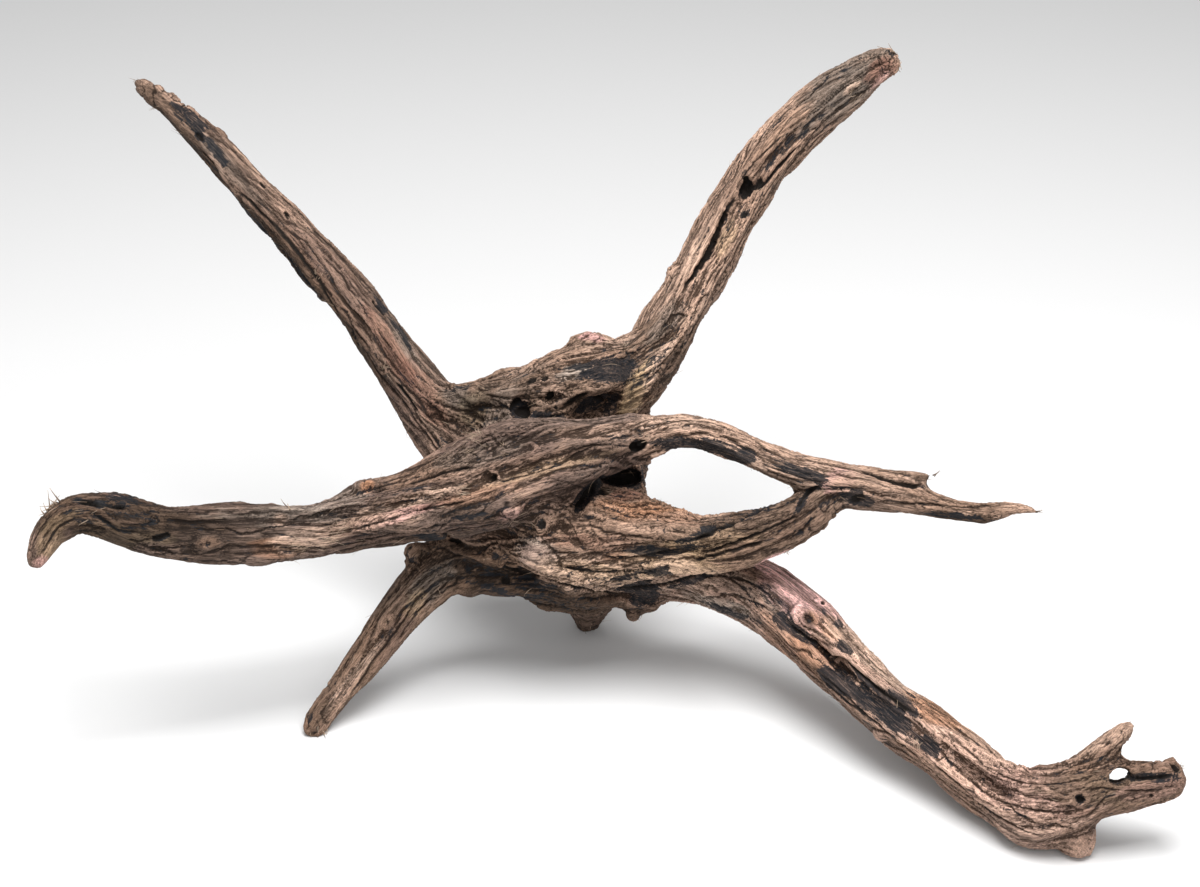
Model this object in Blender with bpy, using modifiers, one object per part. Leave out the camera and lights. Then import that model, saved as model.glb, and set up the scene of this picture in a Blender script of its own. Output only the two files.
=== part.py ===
"""A branching driftwood root, grown in one piece.

Seven limbs leave a knotted middle: two rise at the back, one hooks down at the left, two run
right and grow together round a gap, and two reach down to the ground. The root stands on the
tip of the lower left leg, the heel of the right leg and a stub under the belly.

Stations are written the way an eye in front of the root sees them: across to the right, up,
and away from the eye, in millimetres on a board that leans back through the middle of the wood.
"""
import math

import bmesh
import bpy
import numpy as np
from mathutils import Matrix, Vector, noise
from mathutils.bvhtree import BVHTree

MM = 0.001

# Driving sizes, in metres and radians
LEAN = math.radians(27.0)  # how far the board leans back from upright
EYE_REACH = 1.80  # from the eye to the board
BOARD_CENTRE = Vector((0.002, -0.044, 0.1955))  # the board's middle, above the ground's middle
RING_STEP = 0.005  # distance between the rings of a loft
RING_SIDES = 36
CORD_SIDES = 12  # sides of a crack or fold
TIP_ROUNDING = 0.4  # how far a limb's end stands out, as a share of its half thickness
SKIN_VOXEL = 0.0026  # grid that grows the limbs together
FINISHED_FACES = 11650  # triangles kept for the whole root
GROUND_BOX = 1.2  # side of the block that cuts the standing spots flat
SIGHT_AWAY = range(-160, 320, 8)  # where a line of sight is followed, in millimetres behind the board
WANDER = 0.9  # how far the ridges drift from straight lines
SWELL = 0.11  # height of the broad lumps, as a share of the limb
CREST_MEAN = 0.72  # middle level of a ridge's profile

ACROSS = Vector((1.0, 0.0, 0.0))
UP = Vector((0.0, math.sin(LEAN), math.cos(LEAN)))
AWAY = Vector((0.0, math.cos(LEAN), -math.sin(LEAN)))

# Each limb: stations (across, up, away, half width, half thickness), in millimetres
UPPER_LEFT = [
    (-301, 237, 164, 3, 3), (-296, 231, 162, 6, 5), (-280, 219, 160, 8, 7),
    (-255, 197, 156, 12, 10), (-228, 167, 151, 13.5, 11.5), (-199, 134, 144, 15, 13),
    (-181, 115, 140, 15.5, 14.5), (-161, 94, 136, 15.5, 15), (-144, 71, 131, 16, 16),
    (-130, 50, 127, 17.5, 17), (-115, 29, 124, 20.5, 19), (-97, 6, 118, 25, 23.5),
    (-64, -14, 107, 30, 28.5),
]
UPPER_RIGHT = [
    (193, 250, 170, 8, 6), (185, 247, 168, 12, 9), (174, 242, 165, 14.5, 12.5),
    (161, 232, 162, 17, 14.5), (140, 217, 157, 19, 16), (122, 201, 153, 19, 17.5),
    (106, 182, 149, 19, 18), (96, 165, 146, 19.5, 18), (84, 147, 142, 20, 19),
    (75, 128, 139, 20.5, 19.5), (61, 105, 135, 20, 19.5), (50, 87, 132, 20, 19.5),
    (40, 67, 128, 20.5, 21), (26, 47, 122, 21, 24), (8, 28, 112, 23, 27), (-8, 8, 100, 24, 27),
]
LEFT_HOOK = [
    (-368, -81, -40, 6, 5), (-366, -74, -40, 8.5, 7), (-360, -61, -39, 10.5, 9),
    (-352, -52, -37, 12, 11), (-339, -46, -34, 14, 12.5), (-325, -47, -30, 16, 13.5),
    (-307, -50, -25, 17.5, 15), (-285, -57, -18, 17.5, 16), (-259, -58, -10, 19, 17.5),
    (-230, -58, -3, 20, 18), (-204, -59, 5, 17, 17.5), (-179, -56, 12, 18, 18),
    (-158, -48, 18, 22, 20), (-135, -43, 23, 23, 22), (-114, -38, 29, 25.5, 24.5),
    (-89, -30, 34, 31, 28.5), (-62, -20, 37, 33, 30), (-32, -12, 39, 29, 28.5),
    (-1, -4, 40, 19, 22), (26, 2, 39, 14, 14.5),
]
ARCH = [
    (-1, -4, 40, 19, 22), (26, 2, 38, 14, 14.5), (49, 8, 35, 11.5, 11),
    (66, 7, 32, 11.5, 10.5), (83, 1, 30, 12.5, 11), (102, -7, 27, 11.5, 10.5),
    (124, -16, 25, 12, 11.5), (144, -22, 21, 13.5, 11.5), (166, -28, 18, 14, 12.5),
    (188, -31, 14, 14, 11), (209, -37, 10, 10, 8.5), (231, -43, 6, 7, 6),
    (252, -45, 2, 7.5, 5.5), (270, -42, 0, 5, 4), (291, -46, -3, 2, 2),
]
ARCH_SPUR = [
    (174, -25, 18, 5, 5), (190, -24, 13, 7, 6), (205, -22, 9, 5.5, 4.5), (221, -20, 6, 1.5, 1.5),
]
LOW_BRANCH = [
    (-26, -66, 62, 39, 36), (6, -60, 58, 33, 32.5), (36, -61, 49, 23, 25),
    (62, -66, 39, 18.5, 20), (84, -64, 31, 17, 17), (107, -58, 25, 15.5, 14.5),
    (129, -49, 22, 14.5, 13), (145, -36, 21, 12.5, 11.5), (158, -26, 19, 10, 10),
]
RIGHT_LEG = [
    (-10, -60, 91, 39, 36), (32, -76, 90, 28, 30), (68, -83, 83, 22, 25),
    (92, -92, 73, 22.5, 24), (112, -102, 62, 22.5, 23), (137, -123, 44, 23, 21.5),
    (159, -146, 27, 21, 20), (183, -168, 9, 19.5, 19), (207, -186, -9, 20.5, 19),
    (233, -206, -30, 20, 19.5), (258, -225, -51, 19, 19.5), (280, -236, -68, 24, 23.5),
    (300, -232, -79, 23.5, 22), (320, -225, -84, 19, 17), (339, -223, -87, 16, 13),
    (358, -221, -89, 13, 10.5), (373, -219, -90, 11.5, 8), (380, -218, -91, 8, 5),
]
LEG_HORN = [
    (304, -225, -77, 13, 13), (315, -213, -79, 12.5, 11), (326, -201, -82, 10.5, 8.5),
    (335, -191, -84, 7.5, 6.5), (342, -185, -85, 5.5, 4.5), (348, -181, -86, 2.5, 2.5),
]
HEEL = [
    (286, -235, -62, 19.5, 18), (300, -247, -70, 19, 17), (309, -256, -75, 14, 13),
    (307, -265, -75, 11, 10),
]
LEFT_LEG = [
    (-52, -64, 78, 29, 29), (-84, -71, 76, 24, 24.5), (-105, -82, 76, 19.5, 18),
    (-116, -94, 74, 16.5, 15.5), (-133, -113, 69, 13.5, 12.5), (-151, -136, 64, 11.5, 10.5),
    (-168, -159, 58, 10, 9), (-183, -178, 51, 9, 7.5), (-188, -189, 47, 7, 6),
]
CROWN = [
    (-98, 20, 112, 17, 18), (-72, 22, 105, 22, 25), (-42, 27, 99, 27, 30),
    (-12, 34, 98, 32, 34), (12, 40, 104, 28, 30), (34, 60, 119, 20, 22),
]
STUB = [(-9, 28, 91, 22, 22), (-8, 52, 95, 17, 16), (-8, 70, 98, 16, 13)]
CORE = [(-6, 22, 112, 30, 30), (3, -22, 104, 29, 32), (6, -62, 98, 30, 32)]
HEART = [
    (-36, 32, 98, 29, 29), (-42, -4, 88, 39, 39), (-36, -40, 78, 45.5, 44),
    (-20, -69, 77, 43, 41.5), (4, -86, 98, 27, 30),
]
BELLY = [
    (-26, -50, 98, 45.5, 41.5), (-8, -76, 120, 28, 34), (-7, -94, 144, 20, 25),
    (-7, -107, 163, 13, 15.5), (-8, -118, 176, 7, 8),
]
KEEL = [(0, -74, 84, 29, 31), (22, -94, 84, 15.5, 17), (38, -100, 82, 9.5, 11)]

# Each limb: stations, number of ridges round it, ridge height as a share, turns of twist
LIMBS = {
    "upper_left": (UPPER_LEFT, 7, 0.28, 0.5),
    "upper_right": (UPPER_RIGHT, 8, 0.30, -0.5),
    "left_hook": (LEFT_HOOK, 8, 0.30, 0.7),
    "arch": (ARCH, 5, 0.32, -0.6),
    "arch_spur": (ARCH_SPUR, 3, 0.26, 0.1),
    "low_branch": (LOW_BRANCH, 6, 0.39, 0.4),
    "right_leg": (RIGHT_LEG, 8, 0.32, -0.7),
    "leg_horn": (LEG_HORN, 4, 0.32, 0.1),
    "heel": (HEEL, 5, 0.35, 0.1),
    "left_leg": (LEFT_LEG, 5, 0.35, 0.3),
    "crown": (CROWN, 7, 0.35, 0.4),
    "stub": (STUB, 6, 0.28, 0.0),
    "core": (CORE, 6, 0.34, 0.3),
    "heart": (HEART, 9, 0.35, 0.6),
    "belly": (BELLY, 7, 0.35, 0.3),
    "keel": (KEEL, 5, 0.35, 0.1),
}


# Swellings on the skin: (across, up), radii, turn in degrees, seen from behind or not
KNOTS = [
    ((-151, -28), (8, 7, 8), 30, False), ((-255, -65), (10, 8, 5), 0, False),
    ((44, 114), (5, 4, 5), 0, False), ((135, -114), (13, 9, 6), -20, False),
    ((-60, -44), (12, 8, 8), 20, False), ((-38, -53), (7, 6, 6), 0, False),
    ((-68, -73), (9, 8, 8), 0, False), ((-121, -71), (8, 6, 7), 30, False),
    ((-80, 37), (6, 5, 8), 20, False), ((-139, 48), (7, 4, 5), -50, False),
    ((-137, -117), (6, 5, 5), 50, False), ((-34, 36), (9, 7, 6), 0, False),
    ((181, -190), (4, 4, 6), 0, False), ((372, -205), (3, 5, 4), 0, False),
    ((-85, -92), (10, 8, 10), 0, False), ((22, -112), (5, 5, 6), 0, False),
    ((-215, -35), (7, 3, 4), 0, False), ((-30, -10), (10, 7, 8), 0, True),
    ((30, -60), (14, 9, 9), 40, True), ((90, 150), (10, 6, 7), 60, True),
    ((-190, 125), (9, 6, 6), -45, True), ((210, -190), (12, 9, 7), -40, True),
    ((-230, -60), (11, 7, 7), 0, True), ((-60, -60), (16, 11, 10), 70, True),
]

# Hollows in the skin: (across, up), radii, turn in degrees, seen from behind or not
HOLLOWS = [
    ((-52, 22), (7, 6, 12), -10, False), ((-34, 18), (10, 4, 10), -8, False),
    ((-2, 22), (20, 10, 20), 25, False), ((-32, 31), (3, 3, 6), 0, False),
    ((-36, 42), (3, 3, 6), 0, False), ((14, -22), (19, 8, 34), -8, False),
    ((-10, -36), (14, 5, 16), 55, False), ((25, -2), (4.5, 3.5, 9), 0, False),
    ((94, 165), (8, 4, 9), 70, False), ((93, 150), (4, 3, 6), 50, False),
    ((-285, -61), (4, 2.5, 7), 10, False), ((-72, -22), (4, 3, 6), 0, False),
    ((339, -217), (8, 5, 70), 15, False), ((312, -232), (3, 3, 6), 0, False),
    ((-260, 200), (5, 2.5, 4), -45, False), ((-10, -20), (12, 8, 14), 60, True),
    ((60, 95), (9, 5, 9), 70, True), ((-130, 40), (10, 5, 8), -45, True),
    ((150, -135), (12, 5, 10), -40, True), ((-160, -50), (11, 5, 9), 15, True),
]

# Cracks in the skin: points (across, up), half breadth, half depth, seen from behind or not
CRACKS = [
    ([(88, 162), (80, 145), (70, 122), (58, 109)], 2.6, 8, False),
    ([(129, 193), (119, 182), (107, 170)], 2.2, 6, False),
    ([(124, -118), (140, -130), (158, -148), (182, -167)], 3.6, 12, False),
    ([(345, -216), (360, -217), (374, -217)], 1.8, 7, False),
    ([(52, -48), (72, -55), (94, -57), (112, -51), (126, -41)], 2.8, 8, False),
    ([(-243, 170), (-214, 133), (-178, 87)], 2.6, 6, False),
    ([(-124, 28), (-114, 12)], 3.0, 8, False),
    ([(-340, -37), (-325, -36), (-309, -38)], 2.8, 8, False),
    ([(-266, -54), (-235, -60), (-205, -58), (-182, -53)], 2.0, 6, False),
    ([(48, 1), (66, -1), (84, -9), (100, -15)], 2.6, 8, False),
    ([(-100, -22), (-70, -34), (-40, -40)], 2.4, 7, False),
    ([(-20, -30), (-26, -48), (-14, -66), (8, -74)], 2.6, 8, False),
    ([(-110, -70), (-84, -80), (-50, -86)], 3.0, 9, False),
    ([(-2, -76), (30, -82), (60, -84)], 2.4, 8, False),
    ([(210, -180), (236, -206), (262, -226), (292, -238)], 2.4, 8, False),
    ([(-40, 60), (-20, 50), (0, 62)], 2.0, 6, False),
    ([(-118, -98), (-134, -118), (-150, -138)], 1.8, 5, False),
    ([(110, 185), (92, 158), (78, 130)], 2.8, 8, True),
    ([(-240, 178), (-205, 140), (-170, 98)], 2.6, 7, True),
    ([(-280, -52), (-240, -56), (-200, -56)], 2.6, 8, True),
    ([(120, -105), (150, -135), (180, -165), (215, -192)], 3.2, 9, True),
    ([(-50, 20), (-56, -10), (-40, -40)], 3.2, 10, True),
    ([(10, 30), (0, 0), (10, -30)], 3.0, 10, True),
    ([(-60, -70), (-30, -84), (0, -86)], 3.0, 9, True),
]


# Long folds that lie on the skin: points (across, up), half breadth, half depth, from behind or not
FOLDS = [
    ([(-104, -8), (-65, 6), (-26, 12), (13, 13), (40, 15)], 7, 9, False),
    ([(-84, -17), (-46, -8), (-7, -1), (25, -4)], 6, 8, False),
    ([(-70, -40), (-33, -24), (-6, -17), (12, -13)], 7, 9, False),
    ([(-26, -100), (-40, -76), (-34, -50), (-13, -37), (10, -38)], 7, 9, False),
    ([(-26, -96), (13, -86), (52, -78), (91, -76), (122, -62)], 6, 8, False),
    ([(0, -52), (39, -60), (78, -59), (110, -51), (134, -37)], 6, 7, False),
    ([(-160, -54), (-118, -50), (-78, -60), (-45, -76), (-13, -88)], 7, 9, False),
    ([(-200, -46), (-162, -39), (-120, -32), (-85, -36)], 5, 7, False),
    ([(-104, -78), (-75, -92), (-45, -91), (-30, -98)], 6, 8, False),
    ([(175, 247), (130, 213), (91, 168), (66, 130), (46, 92), (26, 62), (-6, 56)], 6, 7, False),
    ([(150, 215), (111, 173), (86, 131), (60, 84), (36, 46)], 6, 7, False),
    ([(-290, 224), (-234, 167), (-184, 107), (-140, 50), (-112, 14)], 5, 6, False),
    ([(-172, 108), (-141, 72), (-113, 36), (-90, 20)], 6, 7, False),
    ([(110, -88), (147, -121), (177, -156), (230, -196), (280, -221), (325, -219)], 7, 8, False),
    ([(96, -102), (131, -131), (154, -155), (177, -177), (228, -214), (270, -246)], 7, 8, False),
    ([(-84, -86), (-117, -110), (-150, -148), (-176, -177)], 5, 6, False),
    ([(-84, 29), (-52, 36), (-26, 43), (0, 54)], 6, 7, False),
    ([(-66, 26), (-52, 37), (-26, 34), (0, 36), (20, 44)], 5, 7, False),
    ([(-330, -38), (-280, -45), (-235, -44), (-180, -43)], 5, 6, False),
    ([(-300, -70), (-255, -74), (-210, -74), (-150, -68)], 5, 6, False),
    ([(60, 5), (95, -10), (130, -22), (170, -26), (205, -32)], 4, 5, False),
    ([(180, 245), (124, 202), (84, 150), (56, 100), (24, 48)], 7, 8, True),
    ([(150, 222), (103, 163), (72, 108)], 6, 7, True),
    ([(-283, 221), (-219, 159), (-158, 90), (-110, 30), (-60, 10)], 5, 7, True),
    ([(-300, -50), (-230, -52), (-160, -44), (-110, -26)], 6, 8, True),
    ([(-280, -66), (-210, -68), (-150, -60), (-90, -52)], 6, 8, True),
    ([(95, -86), (140, -120), (188, -167), (248, -212), (300, -230)], 8, 9, True),
    ([(84, -98), (129, -130), (177, -174), (230, -211)], 6, 8, True),
    ([(-70, 10), (-60, -20), (-30, -60), (-8, -100)], 8, 10, True),
    ([(30, 30), (24, -10), (10, -50), (-4, -90)], 8, 10, True),
    ([(-40, 40), (0, 44), (34, 60)], 7, 8, True),
    ([(-110, -88), (-70, -76), (-30, -70), (20, -80), (70, -88)], 7, 9, True),
    ([(50, 4), (90, -6), (140, -24), (190, -32)], 4, 5, True),
]


def on_board(across, up, away):
    """The point that the eye sees at this place of the board, this far behind it."""
    reach = 1.0 + away * MM / EYE_REACH
    sideways = (ACROSS * across + UP * up) * MM * reach
    return BOARD_CENTRE + sideways + AWAY * (away * MM)


def curve_through(rows, share):
    """A smooth value between the rows: Catmull-Rom, with share from 0 to the last row."""
    last = len(rows) - 1
    i = min(int(share), last - 1)
    t = share - i
    before, a = rows[max(i - 1, 0)], rows[i]
    b, after = rows[i + 1], rows[min(i + 2, last)]
    return 0.5 * (
        2 * a + (b - before) * t
        + (2 * before - 5 * a + 4 * b - after) * t * t
        + (3 * a - before - 3 * b + after) * t ** 3
    )


def walk(stations):
    """Evenly spaced (point, half width, half thickness) along a limb, from its first station."""
    rows = [
        np.array([*on_board(*s[:3]), s[3] * MM, s[4] * MM]) for s in stations
    ]
    fine = [curve_through(rows, i / 12) for i in range(12 * (len(rows) - 1) + 1)]
    steps = [np.linalg.norm(b[:3] - a[:3]) for a, b in zip(fine, fine[1:])]
    along = np.concatenate([[0.0], np.cumsum(steps)])
    count = max(3, int(along[-1] / RING_STEP) + 1)
    even = np.linspace(0.0, along[-1], count)
    table = np.array(fine)
    return np.column_stack([np.interp(even, along, table[:, k]) for k in range(5)])


def ridge_factor(angle, place, ridges, height, twist, seed):
    """How far the skin stands out: rounded ridges with narrow valleys that wander and fade."""
    across, around = math.cos(angle), math.sin(angle)
    drift = WANDER * noise.noise(Vector((place * 14.0, across * 0.8 + seed, around * 0.8)))
    fade = 0.75 + 0.5 * noise.noise(Vector((place * 20.0 + 7.0, across + seed, around)))
    crest = abs(math.sin(0.5 * ridges * (angle + twist * place * 12.0 + drift)))
    swell = SWELL * noise.noise(Vector((place * 30.0, across * 1.3, around * 1.3 + seed)))
    return 1.0 + swell + height * fade * (crest ** 0.7 - CREST_MEAN)


def loft(name, stations, ridges=0, height=0.0, twist=0.0, sides=RING_SIDES):
    """A closed tube through the stations, with both ends rounded over."""
    rows = walk(stations)
    seed = sum(ord(letter) for letter in name) * 0.37
    mesh = bmesh.new()
    rings = []
    for i, row in enumerate(rows):
        ahead, behind = rows[min(i + 1, len(rows) - 1)], rows[max(i - 1, 0)]
        along = Vector(ahead[:3] - behind[:3]).normalized()
        wide = AWAY.cross(along).normalized()
        thick = along.cross(wide)
        centre = Vector(row[:3])
        ring = []
        for k in range(sides):
            angle = 2 * math.pi * k / sides
            out = ridge_factor(angle, i * RING_STEP, ridges, height, twist, seed) if ridges else 1.0
            spot = centre + wide * (math.cos(angle) * row[3] * out)
            ring.append(mesh.verts.new(spot + thick * (math.sin(angle) * row[4] * out)))
        rings.append(ring)
    for near, far in zip(rings, rings[1:]):
        for k in range(sides):
            m = (k + 1) % sides
            mesh.faces.new((near[k], near[m], far[m], far[k]))
    for end, inner in ((0, 1), (-1, -2)):
        ring, row = rings[end], rows[end]
        outward = Vector(row[:3] - rows[inner][:3]).normalized()
        tip = mesh.verts.new(Vector(row[:3]) + outward * TIP_ROUNDING * min(row[3], row[4]))
        for k in range(sides):
            mesh.faces.new((ring[k], ring[(k + 1) % sides], tip))
    bmesh.ops.recalc_face_normals(mesh, faces=mesh.faces)
    return finished_object(name, mesh)


def finished_object(name, mesh):
    """The bmesh as an object in the scene."""
    data = bpy.data.meshes.new(name)
    mesh.to_mesh(data)
    mesh.free()
    made = bpy.data.objects.new(name, data)
    bpy.context.scene.collection.objects.link(made)
    return made


def joined(pieces):
    """The pieces' meshes in the first piece, and the others gone."""
    bpy.ops.object.select_all(action="DESELECT")
    for piece in pieces:
        piece.select_set(True)
    bpy.context.view_layer.objects.active = pieces[0]
    bpy.ops.object.join()
    return pieces[0]


def applied(thing):
    """The object with its modifiers baked into its mesh."""
    graph = bpy.context.evaluated_depsgraph_get()
    data = bpy.data.meshes.new_from_object(thing.evaluated_get(graph))
    thing.modifiers.clear()
    thing.data = data
    return thing


def grown_together(thing, voxel=SKIN_VOXEL, rounds=2):
    """One skin over everything in the object, its folds softened a little."""
    remesh = thing.modifiers.new("grow together", "REMESH")
    remesh.mode = "VOXEL"
    remesh.voxel_size = voxel
    soften = thing.modifiers.new("soften", "SMOOTH")
    soften.factor = 0.5
    soften.iterations = rounds
    return applied(thing)


def sight_tree(thing):
    """A search tree of the object's faces, for meeting lines of sight."""
    mesh = bmesh.new()
    mesh.from_mesh(thing.data)
    tree = BVHTree.FromBMesh(mesh)
    mesh.free()
    return tree


def skin_at(tree, across, up, from_behind=False):
    """Where the line of sight through this place of the board meets the wood, or passes nearest."""
    line = [on_board(across, up, away) for away in SIGHT_AWAY]
    if from_behind:
        line.reverse()
    spot = tree.ray_cast(line[0], (line[-1] - line[0]).normalized())[0]
    if spot is None:
        spot = min((tree.find_nearest(point) for point in line), key=lambda found: found[3])[0]
    return spot


def board_frame(turn):
    """Rotation from (length, breadth, depth) to the board, the length turned up from across."""
    length = ACROSS * math.cos(turn) + UP * math.sin(turn)
    breadth = UP * math.cos(turn) - ACROSS * math.sin(turn)
    return Matrix((length, breadth, -AWAY)).transposed().to_4x4()


def egg(name, spot, radii, turn):
    """A stretched ball: radii along its length, breadth and depth, in millimetres."""
    bpy.ops.mesh.primitive_uv_sphere_add(segments=20, ring_count=12, radius=1.0)
    made = bpy.context.object
    made.name = name
    scale = Matrix.Diagonal((*(r * MM for r in radii), 1.0))
    made.data.transform(Matrix.Translation(spot) @ board_frame(math.radians(turn)) @ scale)
    return made


def along_skin(name, tree, points, half_breadth, half_depth, from_behind):
    """A thin cord or wedge that follows the skin through the points, its ends drawn in."""
    stations = []
    for i, point in enumerate(points):
        offset = skin_at(tree, *point, from_behind) - BOARD_CENTRE
        away = offset.dot(AWAY) / MM
        reach = 1.0 + away * MM / EYE_REACH
        pinch = 0.35 if i in (0, len(points) - 1) else 1.0
        place = (offset.dot(ACROSS) / MM / reach, offset.dot(UP) / MM / reach, away)
        stations.append((*place, half_breadth * pinch, half_depth * pinch))
    return loft(name, stations, sides=CORD_SIDES)


def carved(thing, cutters):
    """The object with the cutters' shapes taken out."""
    tools = bpy.data.collections.new("cutters")
    bpy.context.scene.collection.children.link(tools)
    for cutter in cutters:
        for home in list(cutter.users_collection):
            home.objects.unlink(cutter)
        tools.objects.link(cutter)
        cutter.display_type = "WIRE"
        cutter.hide_render = True
    cut = thing.modifiers.new("carve", "BOOLEAN")
    cut.operation = "DIFFERENCE"
    cut.operand_type = "COLLECTION"
    cut.collection = tools
    cut.solver = "EXACT"
    applied(thing)
    for cutter in list(tools.objects):
        bpy.data.objects.remove(cutter)
    bpy.data.collections.remove(tools)
    return thing


def thinned(thing, faces):
    """The object with about this many triangles, fewest where it is flat."""
    thing.data.calc_loop_triangles()
    fewer = thing.modifiers.new("thin", "DECIMATE")
    fewer.ratio = faces / len(thing.data.loop_triangles)
    fewer.use_collapse_triangulate = True
    return applied(thing)


def stood_flat(thing):
    """The object cut at the ground, so that it stands on small flat spots."""
    bpy.ops.mesh.primitive_cube_add(size=GROUND_BOX, location=(0, 0, -GROUND_BOX / 2))
    block = bpy.context.object
    block.name = "below ground"
    return carved(thing, [block])


def without_scraps(thing):
    """The object with only its largest connected body of faces."""
    mesh = bmesh.new()
    mesh.from_mesh(thing.data)
    waiting = set(mesh.verts)
    bodies = []
    while waiting:
        edge_of_search = [waiting.pop()]
        body = list(edge_of_search)
        while edge_of_search:
            near = {e.other_vert(v) for v in edge_of_search for e in v.link_edges} & waiting
            waiting -= near
            edge_of_search = list(near)
            body += edge_of_search
        bodies.append(body)
    bodies.sort(key=len)
    for scrap in bodies[:-1]:
        bmesh.ops.delete(mesh, geom=scrap, context="VERTS")
    mesh.to_mesh(thing.data)
    mesh.free()
    return thing


def wood_material():
    """Weathered brown wood."""
    made = bpy.data.materials.new("weathered wood")
    made.use_nodes = True
    shader = made.node_tree.nodes["Principled BSDF"]
    shader.inputs["Base Color"].default_value = (0.19, 0.12, 0.085, 1.0)
    shader.inputs["Roughness"].default_value = 0.82
    shader.inputs["Metallic"].default_value = 0.0
    return made


def driftwood():
    """The whole root: limbs grown together, knots, hollows, cracks and standing spots."""
    limbs = [loft(name, *facts) for name, facts in LIMBS.items()]
    root = grown_together(joined(limbs))
    tree = sight_tree(root)
    knots = [
        egg("knot", skin_at(tree, *spot, behind), radii, turn)
        for spot, radii, turn, behind in KNOTS
    ]
    folds = [along_skin("fold", tree, *facts) for facts in FOLDS]
    root = grown_together(joined([root, *knots, *folds]), rounds=1)
    tree = sight_tree(root)
    cutters = [
        egg("hollow", skin_at(tree, *spot, behind), radii, turn)
        for spot, radii, turn, behind in HOLLOWS
    ]
    cutters += [along_skin("crack", tree, *facts) for facts in CRACKS]
    root = grown_together(carved(root, cutters), rounds=1)
    root = without_scraps(stood_flat(thinned(root, FINISHED_FACES)))
    root.name = root.data.name = "driftwood"
    return root


def main():
    """Build the root in a collection of its own."""
    for old in list(bpy.data.objects):
        bpy.data.objects.remove(old)
    root = driftwood()
    root.data.materials.clear()
    root.data.materials.append(wood_material())
    home = bpy.data.collections.new("driftwood root")
    bpy.context.scene.collection.children.link(home)
    for other in list(root.users_collection):
        other.objects.unlink(root)
    home.objects.link(root)


main()
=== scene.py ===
"""The driftwood root's looks: a weathered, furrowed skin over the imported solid, with splinters.

Places on the wood are written as an eye in front of the root sees them: steps to the right and
steps down from the upper left corner of the view, 0.65 mm each on a board that leans back
through the middle of the wood. A line of sight through such a place finds the wood's skin.
"""
import itertools
import math

import bmesh
import bpy
import numpy as np
from bpy.props import FloatProperty, FloatVectorProperty, IntProperty, PointerProperty
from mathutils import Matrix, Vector
from mathutils.bvhtree import BVHTree


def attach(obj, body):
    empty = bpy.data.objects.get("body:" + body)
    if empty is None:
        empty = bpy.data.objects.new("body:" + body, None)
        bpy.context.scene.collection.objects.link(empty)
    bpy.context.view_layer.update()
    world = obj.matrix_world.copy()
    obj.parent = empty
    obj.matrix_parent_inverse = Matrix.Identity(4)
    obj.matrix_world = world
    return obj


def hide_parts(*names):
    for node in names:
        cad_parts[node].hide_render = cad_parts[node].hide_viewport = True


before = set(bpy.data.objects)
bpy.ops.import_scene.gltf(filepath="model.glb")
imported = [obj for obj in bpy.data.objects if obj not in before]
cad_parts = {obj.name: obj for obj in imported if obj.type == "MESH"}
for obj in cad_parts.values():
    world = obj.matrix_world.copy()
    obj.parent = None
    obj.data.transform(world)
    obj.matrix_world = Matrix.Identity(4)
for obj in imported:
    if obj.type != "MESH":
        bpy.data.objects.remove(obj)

bl_info = {
    "name": "Driftwood Root",
    "version": (1, 0, 0),
    "blender": (4, 5, 0),
    "location": "3D View > Sidebar > Driftwood",
    "description": "Dresses a driftwood root in grain, cracks, stains and splinters",
    "category": "Object",
}

MM = 0.001
SENSOR = 36.0  # millimetres across the camera's sensor
ROUNDS, ROUNDS_GRID, FEWEST_ROUNDS = 24, 0.00112, 6  # rounds that rub out facets, at this grid
SHRINK, SWELL = 0.55, -0.58  # how far each round draws the skin in and lets it out again
WELD = 0.00002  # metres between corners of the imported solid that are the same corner
RING = 12  # neighbours of a place that are tried in each step
MOST_STEPS = 24  # from a place to the one nearest to an aim
WOBBLE = 0.9  # steps of the view that a line strays
MARK_DEPTH, MARK_LEAST = 0.8, 6  # how deep a mark reaches: share of its size, and steps more

NODE = "driftwood"
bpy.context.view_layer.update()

# The board that places are written on
VIEW_WIDE, VIEW_HIGH = 1200, 887
VIEW_STEP = 0.65  # millimetres of the board in each step of the view
LEAN = math.radians(27.0)
EYE_REACH = 1.80
BOARD_CENTRE = Vector((0.002, -0.044, 0.1955))
ACROSS = Vector((1.0, 0.0, 0.0))
UP = Vector((0.0, math.sin(LEAN), math.cos(LEAN)))
AWAY = Vector((0.0, math.cos(LEAN), -math.sin(LEAN)))
EYE = BOARD_CENTRE - AWAY * EYE_REACH

# The two soft lights and the floor: place and side in metres
KEY_LIGHT = (0.12, -0.50, 2.0), 1.3
FILL_LIGHT = (0.35, -2.1, 1.3), 1.4
FLOOR = (0.0, 2.0, 0.0), 14.0
FARTHEST = 40.0  # metres that the eye sees

# Strands of grain from the finest on: width as a share of the finest, and leaps both ways
STRANDS = [(1.0, 7), (1.9, 8), (4.2, 9), (9.0, 6)]

# Patterns of the finish: sizes in metres along and across the grain, detail and roughness
STREAK = 0.030, 0.0016, 4.0, 0.6
HAIR = 0.016, 0.0007, 2.0, 0.6
SPLIT = 0.013, 0.0019, 3.0, 0.65
THREAD = 0.022, 0.0010, 3.0, 0.6
FLAKE = 0.011, 0.0028, 3.0, 0.65
BLOTCH = 0.016, 0.016, 4.0, 0.6
SPECK = 0.0011, 0.0011, 2.0, 0.6
FIBRE_PATCH = 0.009, 0.009, 2.0, 0.5
FIBRE_SPECK = 0.0008, 0.0008, 2.0, 0.6
GLOSS = 0.18  # how much dry wood mirrors

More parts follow.
